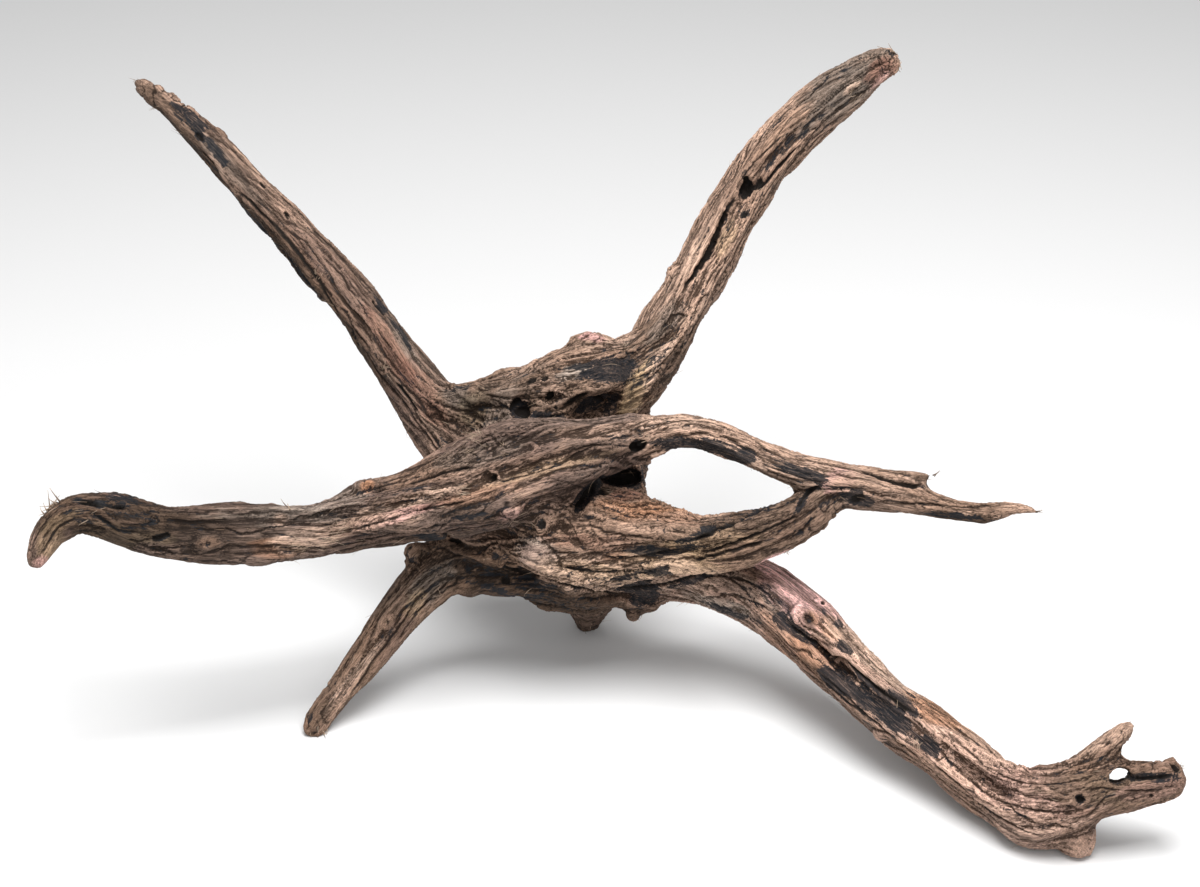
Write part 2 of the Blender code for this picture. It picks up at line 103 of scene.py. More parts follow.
# The shape and stand of splinters, in millimetres where nothing else is said
TAPER, FLATNESS = 0.72, 0.7  # thinning of each ring, and breadth as a share of width
ROOT_DEPTH, ROOT_SUNK = 1.5, 0.4  # how far a root goes on into the wood, and lies under the skin
SCATTER = 3.5  # steps of the view that the splinters of one place stray
LAID = 0.8  # share of a splinter's outward lean that is taken away
LIFT = 0.05, 0.45  # least and most that it is then lifted again
BEND = 0.05, 0.22  # mean and spread of its bend, as a share of its length
LOOSE_LENGTH, LOOSE_THICKNESS = (3.0, 9.0), (0.22, 0.5)  # least and most of loose fibres
WORM_HOLE = 0.5, 1.3  # least and most radius of a worm hole

# The way the grain runs: points (across, up, away, radius) in millimetres from the board's middle
GRAIN = {
    "upper_left": [
        (-301, 237, 164, 4), (-255, 197, 156, 12), (-199, 134, 144, 15), (-144, 71, 131, 16),
        (-115, 29, 124, 20), (-64, -14, 107, 29),
    ],
    "upper_right": [
        (-8, 8, 100, 26), (26, 47, 122, 22), (50, 87, 132, 20), (75, 128, 139, 20),
        (96, 165, 146, 19), (122, 201, 153, 18), (161, 232, 162, 16), (193, 250, 170, 7),
    ],
    "left_hook": [
        (-368, -81, -40, 6), (-352, -52, -37, 12), (-325, -47, -30, 15), (-285, -57, -18, 17),
        (-230, -58, -3, 19), (-179, -56, 12, 18), (-135, -43, 23, 22), (-89, -30, 34, 30),
        (-32, -12, 39, 29), (26, 2, 39, 14),
    ],
    "arch": [
        (-1, -4, 40, 20), (26, 2, 38, 14), (49, 8, 35, 11), (83, 1, 30, 12), (124, -16, 25, 12),
        (166, -28, 18, 13), (209, -37, 10, 9), (252, -45, 2, 6), (291, -46, -3, 2),
    ],
    "arch_spur": [(174, -25, 18, 5), (205, -22, 9, 5), (221, -20, 6, 2)],
    "low_branch": [
        (-26, -66, 62, 38), (36, -61, 49, 24), (84, -64, 31, 17), (129, -49, 22, 13),
        (158, -26, 19, 10),
    ],
    "right_leg": [
        (-10, -60, 91, 38), (68, -83, 83, 23), (112, -102, 62, 23), (159, -146, 27, 21),
        (207, -186, -9, 20), (258, -225, -51, 19), (300, -232, -79, 23), (339, -223, -87, 15),
        (380, -218, -91, 6),
    ],
    "leg_horn": [(304, -225, -77, 13), (326, -201, -82, 9), (348, -181, -86, 3)],
    "heel": [(270, -240, -58, 16), (300, -250, -70, 17), (312, -262, -75, 11)],
    "left_leg": [
        (-188, -189, 47, 6), (-151, -136, 64, 11), (-116, -94, 74, 16), (-84, -71, 76, 24),
        (-52, -64, 78, 29),
    ],
    "crown": [(-98, 20, 112, 18), (-42, 27, 99, 28), (12, 40, 104, 29), (34, 60, 119, 21)],
    "stub": [(-40, 50, 95, 20), (-8, 62, 96, 17), (22, 58, 112, 18)],
    "core": [(-30, -4, 104, 34), (20, 0, 106, 31)],
    "heart": [(-80, -34, 80, 38), (-30, -46, 78, 45), (20, -64, 78, 38)],
    "belly": [(-50, -82, 104, 30), (-7, -94, 132, 24), (30, -92, 100, 24)],
}
SPINE_STEP = 0.007
SPINE_SHARES = 8  # points worked out for each stretch of a limb before they are evened out
LIMBS_APART = 1.7  # metres between two limbs where the grain is written as if they were straight

# Where the skin is parted into pieces: piece, its limbs, and the first limb's place of the cut
# counted in points of its line, with the side of it that belongs to the piece
PARTS = [
    ("upper_left_limb", ("upper_left",), {"upper_left": (3.0, -1)}),
    ("upper_right_limb", ("upper_right",), {"upper_right": (3.0, 1)}),
    ("left_hook_limb", ("left_hook",), {"left_hook": (6.0, -1)}),
    ("left_leg", ("left_leg",), {"left_leg": (2.0, -1)}),
    ("right_leg", ("right_leg", "leg_horn", "heel"), {"right_leg": (2.0, 1)}),
    ("right_fork", ("arch", "arch_spur", "low_branch"), {"arch": (2.0, 1), "low_branch": (2.0, 1)}),
]
MIDDLES = ("middle_left", "middle_centre", "middle_right")  # alike in size, from left to right

# Cracks: places in the view, half width and depth in millimetres
CRACKS = [
    ([(233, 187), (262, 213), (286, 237), (312, 270), (330, 294)], 1.5, 3.0),
    ([(318, 283), (340, 318), (360, 346)], 1.2, 3.0),
    ([(396, 382), (408, 398), (416, 412)], 1.5, 3.5),
    ([(372, 300), (384, 316)], 1.8, 4.0),
    ([(330, 262), (352, 292), (372, 322), (392, 352)], 0.8, 1.2),
    ([(372, 352), (396, 376), (420, 402), (440, 430)], 0.9, 1.5),
    ([(736, 195), (722, 222), (708, 254), (697, 270), (684, 292)], 1.3, 5.0),
    ([(799, 146), (782, 164), (765, 182), (757, 190)], 1.4, 5.0),
    ([(789, 130), (765, 152), (745, 172), (736, 190)], 0.8, 2.0),
    ([(830, 75), (800, 105), (770, 135)], 0.8, 2.0),
    ([(741, 192), (748, 177)], 1.7, 5.0),
    ([(752, 190), (763, 178)], 1.7, 5.0),
    ([(728, 258), (716, 282)], 0.9, 2.0),
    ([(764, 200), (748, 236), (730, 272)], 0.8, 1.6),
    ([(78, 498), (95, 502), (112, 505), (127, 506)], 2.3, 5.0),
    ([(128, 541), (150, 541)], 0.8, 1.6), ([(42, 556), (52, 536), (64, 523), (82, 519)], 1.0, 1.6),
    ([(92, 513), (106, 522), (120, 531), (140, 533)], 1.0, 1.6),
    ([(574, 509), (583, 496), (595, 485), (606, 475), (619, 468)], 2.2, 4.5),
    ([(152, 541), (162, 538), (169, 533)], 2.2, 3.5),
    ([(188, 528), (212, 530), (226, 528), (238, 533), (252, 533), (268, 528), (292, 525),
      (320, 525)], 0.55, 1.4),
    ([(372, 492), (410, 482), (450, 470), (478, 466)], 1.1, 2.6),
    ([(330, 536), (380, 522), (430, 508), (470, 500)], 1.0, 2.0),
    ([(352, 543), (400, 533), (450, 524)], 1.0, 2.0),
    ([(415, 531), (440, 535), (462, 543)], 1.5, 4.0),
    ([(470, 482), (505, 480), (545, 470), (585, 452), (620, 440)], 0.8, 1.3),
    ([(530, 500), (560, 512), (574, 530), (582, 548), (602, 557)], 0.6, 0.9),
    ([(520, 492), (556, 496), (584, 512), (594, 532), (612, 546)], 0.6, 0.8),
    ([(545, 478), (578, 486), (600, 498), (606, 516)], 0.6, 0.8),
    ([(540, 536), (552, 550), (566, 572)], 0.7, 1.2),
    ([(480, 562), (520, 572), (560, 584), (600, 592), (640, 597)], 1.2, 3.0),
    ([(560, 566), (600, 572), (640, 569)], 0.9, 2.2),
    ([(590, 584), (630, 589), (672, 582), (710, 568)], 1.1, 2.6),
    ([(600, 556), (640, 556), (680, 548)], 0.9, 2.0),
    ([(690, 541), (715, 532), (740, 521), (765, 508), (790, 497)], 1.3, 3.5),
    ([(798, 508), (806, 494), (820, 486)], 1.5, 3.0),
    ([(700, 553), (740, 541), (775, 526), (800, 514)], 1.1, 2.8),
    ([(690, 561), (730, 551), (765, 541)], 1.1, 2.8),
    ([(650, 530), (700, 520), (740, 508)], 0.8, 1.5),
    ([(640, 428), (680, 420), (715, 424), (745, 436)], 0.7, 1.2),
    ([(735, 430), (755, 440), (772, 452)], 0.8, 1.6),
    ([(760, 462), (800, 478), (822, 485)], 1.0, 2.0),
    ([(858, 469), (885, 478), (905, 484), (922, 486)], 1.4, 3.0),
    ([(880, 500), (920, 504), (960, 506), (1000, 505)], 0.9, 1.8),
    ([(790, 625), (804, 635), (820, 646)], 1.1, 2.5),
    ([(820, 645), (832, 654), (850, 667), (870, 682), (895, 700), (920, 717)], 1.9, 6.5),
    ([(700, 575), (740, 579), (765, 591), (776, 606)], 0.8, 1.5),
    ([(690, 562), (720, 572), (745, 590), (760, 610), (776, 624)], 0.7, 1.0),
    ([(950, 735), (985, 765), (1020, 782), (1060, 782), (1090, 775)], 0.8, 1.5),
    ([(930, 740), (965, 775), (1000, 800), (1040, 812), (1075, 812)], 0.9, 1.8),
    ([(960, 752), (990, 778), (1025, 796), (1060, 800), (1085, 795)], 0.7, 1.1),
    ([(1000, 764), (1030, 775), (1060, 770), (1090, 760)], 0.7, 1.2),
    ([(940, 770), (980, 805), (1010, 825), (1045, 838)], 0.8, 1.5),
    ([(1129, 777), (1150, 778), (1174, 775)], 1.3, 3.0),
    ([(1085, 790), (1105, 788), (1135, 791), (1165, 789)], 0.7, 1.1),
    ([(815, 669), (835, 687), (872, 720), (900, 746), (940, 779), (980, 806)], 0.9, 1.8),
    ([(790, 650), (830, 688), (870, 720)], 1.0, 2.0),
    ([(455, 576), (430, 598), (412, 618), (396, 642)], 0.8, 1.4),
    ([(420, 592), (400, 625), (370, 665), (345, 705)], 0.8, 1.3),
]

# Hollows, darkened inside with painted shade: place, half length and half breadth in steps, turn in
# degrees, depth in millimetres
HOLLOWS = [
    (200, 137, 7, 3, -55, 3.0), (263, 185, 5, 2, -45, 2.0), (287, 214, 5, 2.4, -50, 3.0),
    (747, 192, 11, 6, 75, 3.5), (743, 214, 5, 4, 20, 2.5), (550, 396, 3.5, 2.5, 30, 3.0),
    (545, 379, 4, 3.5, 0, 3.0), (532, 381, 5, 2.5, 20, 2.0), (492, 478, 3.5, 2.5, 0, 3.0),
    (541, 524, 6, 5, 0, 1.5), (1080, 800, 4.5, 3.5, 0, 3.0), (823, 602, 2.5, 2.5, 0, 1.5),
    (893, 52, 5, 4, 0, 4.0), (640, 446, 9, 5, 30, 4.0), (857, 500, 10, 6, 20, 2.5),
    (516, 404, 8, 5, 70, 3.2), (523, 412, 9, 4, -20, 2.6), (548, 416, 16, 4, -8, 3.2),
    (434, 533, 4, 2, 0, 2.0),
    (624, 478, 24, 9, 12, 1.5), (604, 492, 14, 6, 38, 1.5), (637, 448, 15, 6, 28, 3.0),
    (505, 580, 5, 4, 0, 2.5), (456, 566, 2, 2, 0, 1.5), (1177, 768, 6, 5, 0, 3.0),
    (576, 400, 16, 5, 28, 2.6), (598, 398, 9, 4, -30, 1.6),
]

# Bumps and dips: place, half length and half breadth in steps, turn in degrees, and height in
# millimetres, which is below zero for a dip
BUMPS = [
    (143, 87, 12, 9, -40, 1.9), (160, 86, 5, 3, -50, 1.8), (176, 96, 7, 3, -45, 1.6),
    (192, 108, 6, 3, -40, 1.7), (222, 131, 7, 3, -45, 1.5), (357, 484, 8, 5, 0, 2.2),
    (58, 514, 12, 5, 40, 1.2), (671, 273, 10, 8, 60, 2.4), (692, 305, 9, 7, 40, 1.6),
    (473, 389, 6, 5, 0, 2.0), (563, 439, 6, 4, 0, 0.8), (417, 549, 10, 7, 0, 2.6),
    (1099, 751, 8, 5, 20, 1.8), (586, 622, 6, 12, 0, 3.2), (633, 614, 5, 10, 0, 3.0),
    (879, 737, 8, 5, -40, 2.2), (492, 528, 6, 5, 0, 1.5), (538, 556, 22, 14, -25, 1.2),
    (894, 58, 12, 8, 45, 1.4), (505, 447, 8, 5, 20, 1.2), (505, 366, 12, 8, 30, 1.6),
    (530, 358, 10, 6, 30, 1.6), (553, 383, 12, 5, -20, 1.5), (596, 338, 14, 8, -15, 1.6),
    (835, 480, 14, 9, 40, 1.2), (1150, 770, 16, 6, 5, 1.0), (809, 619, 5, 3.5, -40, -2.0),
    (262, 561, 14, 7, 8, 2.2),
    (583, 414, 36, 9, -2, -4.5), (1124, 734, 12, 8, 50, 1.6), (540, 418, 26, 7, 0, -2.5),
]

# Splinters: place, the way they point and its spread in degrees, length and thickness in
# millimetres, count
SPLINTERS = [
    (884, 46, 140, 30, 6.0, 0.8, 2), (894, 52, 150, 30, 6.5, 0.9, 3),
    (902, 60, 20, 40, 3.5, 1.1, 3),
    (900, 66, -30, 30, 3.0, 1.0, 2), (330, 730, -60, 20, 6.0, 1.1, 2),
    (152, 108, 215, 25, 5.0, 0.4, 6), (136, 82, 150, 60, 3.5, 0.5, 5),
    (318, 274, 60, 40, 4.0, 0.4, 6),
    (46, 501, 112, 36, 9.0, 0.9, 4), (41, 505, 168, 40, 7.0, 0.8, 5),
    (48, 498, 100, 60, 4.5, 0.6, 6), (291, 506, 115, 12, 6.0, 1.0, 2),
    (302, 546, 185, 26, 11.0, 0.3, 26), (325, 541, 12, 30, 11.0, 0.3, 20),
    (352, 522, 200, 34, 9.0, 0.3, 18),
    (338, 530, 60, 90, 6.0, 0.28, 16),
    (465, 492, 190, 25, 9.0, 0.4, 12), (480, 438, 160, 45, 8.0, 0.34, 34),
    (470, 446, 200, 40, 6.0, 0.3, 14), (505, 449, 110, 60, 5.0, 0.5, 9),
    (326, 728, -50, 30, 6.0, 0.5, 5), (310, 730, -100, 30, 4.0, 0.5, 4),
    (1182, 766, 10, 40, 4.5, 0.5, 8),
    (1130, 730, 50, 30, 3.5, 0.4, 5), (1090, 838, -60, 40, 4.0, 0.4, 8),
    (655, 500, -30, 40, 6.0, 0.4, 10),
    (610, 495, 200, 40, 6.0, 0.4, 10), (586, 624, -90, 25, 5.0, 0.7, 4),
    (633, 616, -80, 25, 5.0, 0.7, 4),
    (825, 528, -50, 30, 4.0, 0.6, 5), (785, 550, -70, 30, 3.5, 0.6, 4),
    (905, 702, 60, 40, 4.0, 0.4, 6),
    (920, 741, -110, 40, 4.0, 0.4, 6), (384, 368, 60, 60, 4.0, 0.4, 6),
    (934, 474, 20, 30, 4.0, 0.5, 4),
    (1040, 511, 10, 25, 5.0, 0.5, 4), (645, 440, 200, 30, 4.0, 0.4, 4),
    (625, 346, 60, 50, 4.0, 0.4, 8),
    (690, 598, 190, 25, 7.0, 0.4, 8), (850, 92, 200, 40, 4.0, 0.4, 8),
    (440, 595, 130, 30, 5.0, 0.4, 5),
]

# Knots: place, radius in steps, height in millimetres
KNOTS = [
    (809, 618, 8, 1.1), (495, 556, 11, 1.2), (387, 622, 7, 1.0), (208, 543, 6, 0.8),
    (668, 266, 9, 1.0), (382, 370, 6, 1.2), (317, 280, 5, 1.0), (541, 524, 8, 0.8),
    (368, 487, 7, 1.2), (550, 395, 9, 1.7), (1080, 800, 8, 0.8), (944, 747, 6, 0.8),
    (590, 540, 10, 0.4), (155, 522, 9, 0.8),
]

# Raised strips: places in the view, half width and height in millimetres
STRIPS = [
    ([(342, 521), (380, 516), (415, 509), (445, 502)], 2.6, 1.7),
    ([(46, 525), (61, 511), (82, 507), (98, 510), (112, 520), (126, 525), (152, 522)], 1.5, 1.6),
    ([(34, 556), (42, 536), (52, 522), (64, 514)], 2.0, 1.2),
    ([(518, 447), (529, 444), (541, 451)], 1.6, 2.2),
    ([(464, 449), (478, 436), (495, 428)], 1.7, 1.6),
    ([(626, 459), (640, 463), (656, 458), (672, 450)], 1.7, 2.0),
    ([(614, 354), (628, 353)], 2.2, 1.4),
    ([(530, 397), (548, 405), (566, 400), (590, 386)], 2.0, 1.8),
    ([(441, 383), (460, 391), (477, 405)], 2.2, 1.4),
    ([(799, 652), (820, 666), (842, 684)], 2.0, 1.6),
    ([(877, 471), (900, 478), (918, 485)], 1.8, 1.8),
    ([(1040, 788), (1062, 798), (1085, 805)], 2.2, 1.6),
    ([(715, 557), (760, 546), (800, 523), (832, 500)], 2.0, 1.5),
    ([(262, 205), (300, 262), (338, 322)], 2.0, 1.3),
    ([(180, 118), (220, 170), (258, 222)], 1.5, 1.0),
    ([(800, 110), (770, 150), (745, 180)], 2.0, 1.2),
    ([(760, 215), (735, 260), (712, 300)], 2.2, 1.6),
    ([(150, 515), (200, 517), (250, 515)], 2.0, 1.2),
    ([(430, 590), (395, 640), (350, 700)], 1.6, 1.1),
    ([(489, 473), (497, 474), (499, 482)], 1.2, 1.3),
    ([(590, 500), (612, 508), (650, 514), (700, 512)], 2.0, 1.2),
    ([(560, 470), (600, 462), (630, 470)], 2.2, 1.2),
    ([(960, 735), (1000, 762), (1050, 766), (1090, 752)], 2.4, 1.7),
    ([(880, 690), (930, 728), (975, 762)], 2.2, 1.4),
    ([(650, 428), (700, 421), (750, 437), (800, 460)], 2.4, 1.0),
    ([(560, 560), (610, 567), (660, 562), (720, 545)], 2.0, 1.3),
]

# Ledges: places in the view, height and reach in millimetres; the wood is raised above the line
LEDGES = [
    ([(402, 623), (433, 597), (462, 575)], 1.2, 6.0),
    ([(671, 314), (681, 313), (691, 317)], 1.8, 6.0),
    ([(688, 322), (701, 300), (712, 290)], 1.5, 6.0),
    ([(770, 550), (800, 540), (820, 526), (842, 502)], 1.8, 7.0),
    ([(562, 566), (600, 561), (640, 556), (690, 546)], 1.8, 6.0),
    ([(575, 588), (610, 577), (650, 569), (690, 560)], 1.8, 5.0),
    ([(590, 362), (612, 354), (640, 352)], 1.5, 6.0),
    ([(786, 641), (812, 656), (836, 673), (862, 696)], 2.0, 6.0),
    ([(115, 524), (135, 525), (156, 521)], 1.5, 5.0),
    ([(287, 521), (310, 515), (345, 506)], 1.5, 5.0),
    ([(317, 278), (345, 312), (373, 352)], 1.6, 6.0),
    ([(200, 146), (226, 180), (250, 210)], 1.2, 5.0),
    ([(664, 437), (700, 434), (735, 441), (757, 452)], 2.0, 6.0),
    ([(786, 466), (806, 473), (826, 482)], 1.6, 6.0),
    ([(470, 520), (500, 523), (530, 534)], 1.6, 6.0),
    ([(440, 548), (480, 560), (520, 574)], 1.8, 6.0),
    ([(930, 760), (965, 788), (1000, 812)], 1.8, 6.0),
    ([(1000, 800), (1040, 822), (1080, 826)], 1.8, 6.0),
    ([(700, 598), (740, 594), (775, 612)], 1.5, 6.0),
    ([(560, 452), (600, 440), (640, 436)], 1.3, 6.0),
    ([(355, 492), (400, 480), (450, 466)], 1.6, 6.0),
]

# Gnarled places: place, half length and half breadth in steps, turn in degrees
GNARLS = [
    (545, 372, 42, 26, -15), (594, 338, 16, 8, -20), (490, 442, 26, 14, 25), (494, 556, 14, 12, 0),
    (820, 520, 34, 14, 35), (890, 62, 24, 14, 45), (671, 273, 14, 12, 60), (692, 308, 16, 12, 60),
    (500, 515, 26, 14, 10), (676, 350, 40, 16, 60), (590, 404, 30, 16, 15), (150, 95, 26, 12, -42),
    (320, 280, 14, 10, -50), (368, 486, 16, 9, 10), (412, 560, 18, 14, 40), (320, 722, 18, 14, 55),
    (1170, 768, 24, 16, 0), (1122, 738, 18, 12, 40), (936, 748, 20, 14, -35), (640, 492, 34, 14, 5),
    (45, 505, 16, 12, 40), (560, 612, 60, 14, -10), (186, 104, 44, 6, -46), (588, 404, 30, 16, 10),
]

# Flaky places, weathered in thin ragged layers: place, half length and half breadth in steps,
# turn in degrees
FLAKY = [
    (620, 577, 90, 30, -6), (745, 530, 76, 22, 24), (700, 440, 70, 10, -4), (700, 575, 50, 20, 12),
    (400, 506, 90, 22, 14), (730, 230, 76, 16, 62), (560, 380, 50, 22, 10),
    (1010, 792, 90, 30, -20),
    (660, 510, 70, 18, 0), (270, 230, 100, 10, -50), (440, 470, 60, 20, 18), (950, 505, 60, 10, -6),
]

# Smooth places: place, half length and half breadth in steps, turn in degrees
SMOOTH = [
    (792, 588, 58, 26, -42), (60, 545, 34, 16, 65), (215, 530, 90, 16, 0),
    (538, 556, 24, 15, -25), (727, 235, 26, 10, 70),
    (572, 371, 18, 8, 20), (634, 395, 28, 12, 65), (160, 150, 50, 14, -45),
    (120, 535, 40, 16, 50), (60, 540, 30, 14, 70),
]

# Tones, as seen in plain daylight
TONES = {
    "brown": (0.475, 0.380, 0.315), "tan": (0.66, 0.55, 0.48), "pink": (0.715, 0.565, 0.535),
    "silver": (0.625, 0.57, 0.525), "grey": (0.44, 0.395, 0.36), "red": (0.49, 0.345, 0.29),
    "orange": (0.645, 0.465, 0.345), "ochre": (0.68, 0.58, 0.455), "olive": (0.40, 0.355, 0.28),
    "umber": (0.275, 0.22, 0.18), "plum": (0.40, 0.325, 0.29), "light": (0.76, 0.65, 0.575),
    "bark": (0.42, 0.335, 0.285), "fawn": (0.71, 0.59, 0.525), "rose": (0.89, 0.72, 0.695),
    "hazel": (0.54, 0.435, 0.37),
}
LIMB_TONES = {
    "upper_left": "bark", "upper_right": "tan", "left_hook": "plum", "arch": "tan",
    "arch_spur": "tan", "low_branch": "brown", "right_leg": "fawn", "leg_horn": "tan",
    "heel": "fawn", "left_leg": "brown", "crown": "brown", "stub": "tan", "core": "hazel",
    "heart": "hazel", "belly": "bark",
}
LIMB_DEPTHS = {  # how deep the grain is, as a share of the settings
    "upper_left": 0.62, "upper_right": 0.75, "left_hook": 0.62, "arch": 0.62, "arch_spur": 0.6,
    "low_branch": 1.0, "right_leg": 0.55, "leg_horn": 0.5, "heel": 0.6, "left_leg": 0.55,
    "crown": 1.05, "stub": 1.1, "core": 1.0, "heart": 0.95, "belly": 0.9,
}

# Coloured places: place, half length and half breadth in steps, turn in degrees, tone, strength
TINTS = [
    (165, 100, 50, 8, -42, "tan", 0.6), (175, 125, 60, 12, -48, "umber", 0.7),
    (112, 520, 64, 26, -8, "umber", 0.85), (190, 540, 70, 20, -3, "umber", 0.6),
    (845, 85, 60, 26, 44, "brown", 0.85), (1120, 780, 76, 34, 4, "brown", 0.8),
    (500, 475, 70, 20, 12, "tan", 0.6), (590, 530, 56, 22, -20, "tan", 0.4),
    (620, 575, 80, 22, -6, "tan", 0.62),
    (500, 585, 90, 30, -14, "umber", 0.9), (240, 180, 60, 8, -48, "grey", 0.5),
    (275, 200, 80, 9, -48, "tan", 0.45), (250, 222, 90, 9, -47, "umber", 0.9),
    (330, 270, 60, 12, -50, "plum", 0.6), (322, 306, 90, 9, -54, "umber", 0.9),
    (392, 352, 44, 9, -58, "red", 0.45), (404, 345, 30, 5, -58, "silver", 0.4),
    (425, 395, 40, 12, -58, "red", 0.42), (410, 420, 40, 8, -60, "plum", 0.6),
    (460, 395, 26, 14, -20, "grey", 0.8), (475, 405, 22, 16, 60, "olive", 0.6),
    (500, 410, 34, 12, 60, "silver", 0.4), (560, 350, 40, 14, 28, "brown", 0.6),
    (593, 338, 15, 6, -20, "pink", 1.0), (572, 371, 20, 7, 22, "silver", 1.0),
    (548, 386, 20, 9, -20, "tan", 0.8), (665, 325, 32, 12, 55, "grey", 0.7),
    (634, 396, 30, 11, 68, "ochre", 0.75), (660, 360, 40, 6, 62, "light", 0.6),
    (690, 350, 40, 6, 62, "umber", 0.6), (700, 280, 30, 14, 60, "tan", 0.8),
    (727, 237, 26, 9, 68, "ochre", 0.5), (745, 262, 40, 6, 64, "light", 0.7),
    (705, 240, 40, 8, 64, "light", 0.5), (800, 120, 60, 14, 46, "brown", 0.6),
    (850, 85, 30, 14, 40, "grey", 0.8), (884, 72, 22, 8, 45, "red", 0.7),
    (790, 150, 50, 8, 48, "tan", 0.8), (855, 80, 14, 5, 30, "light", 0.7),
    (50, 540, 34, 12, 65, "ochre", 0.4), (40, 565, 10, 10, 0, "pink", 0.6),
    (75, 515, 30, 14, -10, "brown", 0.8), (60, 520, 22, 6, 30, "ochre", 0.5),
    (120, 535, 50, 12, -8, "olive", 0.4), (208, 542, 11, 5, 10, "brown", 0.5),
    (200, 515, 90, 18, -3, "umber", 0.45), (280, 515, 60, 10, 0, "grey", 0.8),
    (281, 520, 9, 7, 0, "light", 0.7), (275, 550, 26, 9, 0, "orange", 0.3),
    (310, 538, 30, 12, 10, "light", 0.6), (330, 500, 50, 10, 10, "silver", 0.45),
    (395, 517, 55, 5, 15, "pink", 0.7), (360, 524, 40, 8, 15, "tan", 0.7),
    (368, 487, 6, 6, 0, "orange", 0.8), (410, 500, 50, 6, 14, "light", 0.6),
    (430, 470, 60, 12, 16, "brown", 0.7), (395, 545, 60, 8, 12, "umber", 0.5),
    (480, 455, 45, 12, 12, "grey", 0.6), (470, 497, 45, 8, 14, "orange", 0.32),
    (470, 515, 35, 10, 0, "umber", 0.6), (512, 511, 14, 6, 18, "pink", 0.4),
    (530, 500, 20, 6, 15, "pink", 0.3),
    (530, 500, 30, 8, 15, "tan", 0.6), (560, 460, 70, 12, 12, "brown", 0.35),
    (540, 470, 60, 6, 14, "ochre", 0.3), (620, 430, 60, 8, 4, "tan", 0.8),
    (580, 475, 50, 10, 10, "plum", 0.25), (560, 505, 30, 12, -20, "plum", 0.25),
    (500, 560, 26, 10, -10, "brown", 0.6), (538, 556, 28, 15, -25, "silver", 0.6),
    (538, 560, 22, 12, -25, "pink", 0.2), (600, 545, 50, 10, -8, "red", 0.35),
    (650, 515, 50, 12, -8, "orange", 0.5), (630, 495, 20, 12, 0, "red", 0.6),
    (600, 575, 60, 14, -6, "ochre", 0.55), (660, 560, 60, 16, 4, "ochre", 0.5),
    (560, 580, 40, 12, -20, "tan", 0.5), (640, 585, 60, 10, 0, "grey", 0.5),
    (615, 557, 14, 6, 0, "orange", 0.8), (700, 545, 60, 10, 14, "ochre", 0.35),
    (690, 520, 70, 8, 8, "tan", 0.5), (760, 520, 50, 12, 24, "umber", 0.35),
    (800, 520, 30, 14, 35, "bark", 0.5), (742, 515, 50, 5, 24, "umber", 0.6),
    # The umber patches low under the middle, here and at (500, 585) above, are partly painted shade
    (560, 600, 90, 16, -14, "umber", 0.9), (500, 580, 60, 14, -14, "umber", 0.8),
    (705, 430, 60, 8, -2, "tan", 1.0), (690, 424, 60, 5, 0, "light", 0.5),
    (780, 452, 60, 8, -24, "tan", 1.0), (840, 478, 18, 12, 40, "pink", 0.9),
    (880, 485, 50, 12, -8, "tan", 0.8), (960, 506, 70, 14, -5, "brown", 0.6),
    (1020, 507, 26, 5, -6, "tan", 0.8), (960, 518, 40, 5, -4, "umber", 0.9),
    (900, 472, 30, 6, -10, "brown", 0.6), (925, 478, 14, 4, 0, "umber", 0.8),
    (740, 570, 50, 14, -20, "brown", 0.7), (720, 605, 46, 8, -12, "silver", 0.8),
    # The rose patch on top of the right leg: the wood's pink, made paler as painted light where the
    # branch above casts shade
    (775, 600, 20, 14, -60, "grey", 0.7), (797, 590, 58, 23, -44, "rose", 1.0),
    (735, 585, 40, 16, -30, "grey", 0.5),
    (809, 618, 12, 9, -40, "brown", 0.55), (810, 619, 7, 5, -40, "umber", 0.8),
    (808, 655, 30, 12, -36, "orange", 0.4),
    (838, 612, 20, 8, -60, "pink", 0.6), (790, 640, 50, 14, -38, "orange", 0.35),
    (830, 625, 26, 10, -50, "orange", 0.5), (868, 652, 60, 11, -40, "light", 0.75),
    (930, 690, 60, 10, -34, "light", 0.6), (940, 715, 36, 12, -36, "orange", 0.7),
    (940, 780, 70, 10, -38, "brown", 0.6), (990, 750, 40, 12, -34, "tan", 0.8),
    (1030, 790, 50, 20, -10, "pink", 0.3), (1100, 790, 60, 14, 0, "olive", 0.5),
    (1105, 755, 30, 8, 25, "brown", 0.6), (1110, 740, 22, 10, 50, "tan", 0.5),
    (1150, 790, 30, 8, 10, "pink", 0.35), (1070, 840, 26, 12, 40, "brown", 0.4),
    (430, 585, 26, 16, 50, "grey", 0.7), (415, 605, 14, 8, 60, "ochre", 0.4),
    (357, 673, 50, 5, 51, "light", 0.8), (340, 700, 40, 5, 55, "tan", 0.6),
    (395, 640, 30, 12, 50, "plum", 0.6), (455, 600, 40, 8, 40, "brown", 0.5),
    (322, 715, 20, 8, 60, "umber", 0.6), (770, 170, 80, 30, 55, "brown", 0.35),
    (90, 515, 76, 30, -8, "umber", 0.65), (42, 562, 7, 6, 0, "pink", 0.5),
    (850, 690, 50, 20, -38, "brown", 0.5), (826, 689, 84, 10, -42, "umber", 0.45),
    (845, 85, 60, 26, 44, "grey", 0.8), (1120, 780, 76, 34, 4, "bark", 0.45),
    (625, 572, 86, 26, -6, "light", 0.42), (730, 190, 60, 26, 62, "bark", 0.35),
    (876, 70, 18, 8, 45, "red", 0.6), (852, 88, 10, 3, 35, "light", 0.6),
    (880, 78, 12, 5, 45, "pink", 0.4), (515, 390, 60, 26, 10, "grey", 0.3),
]
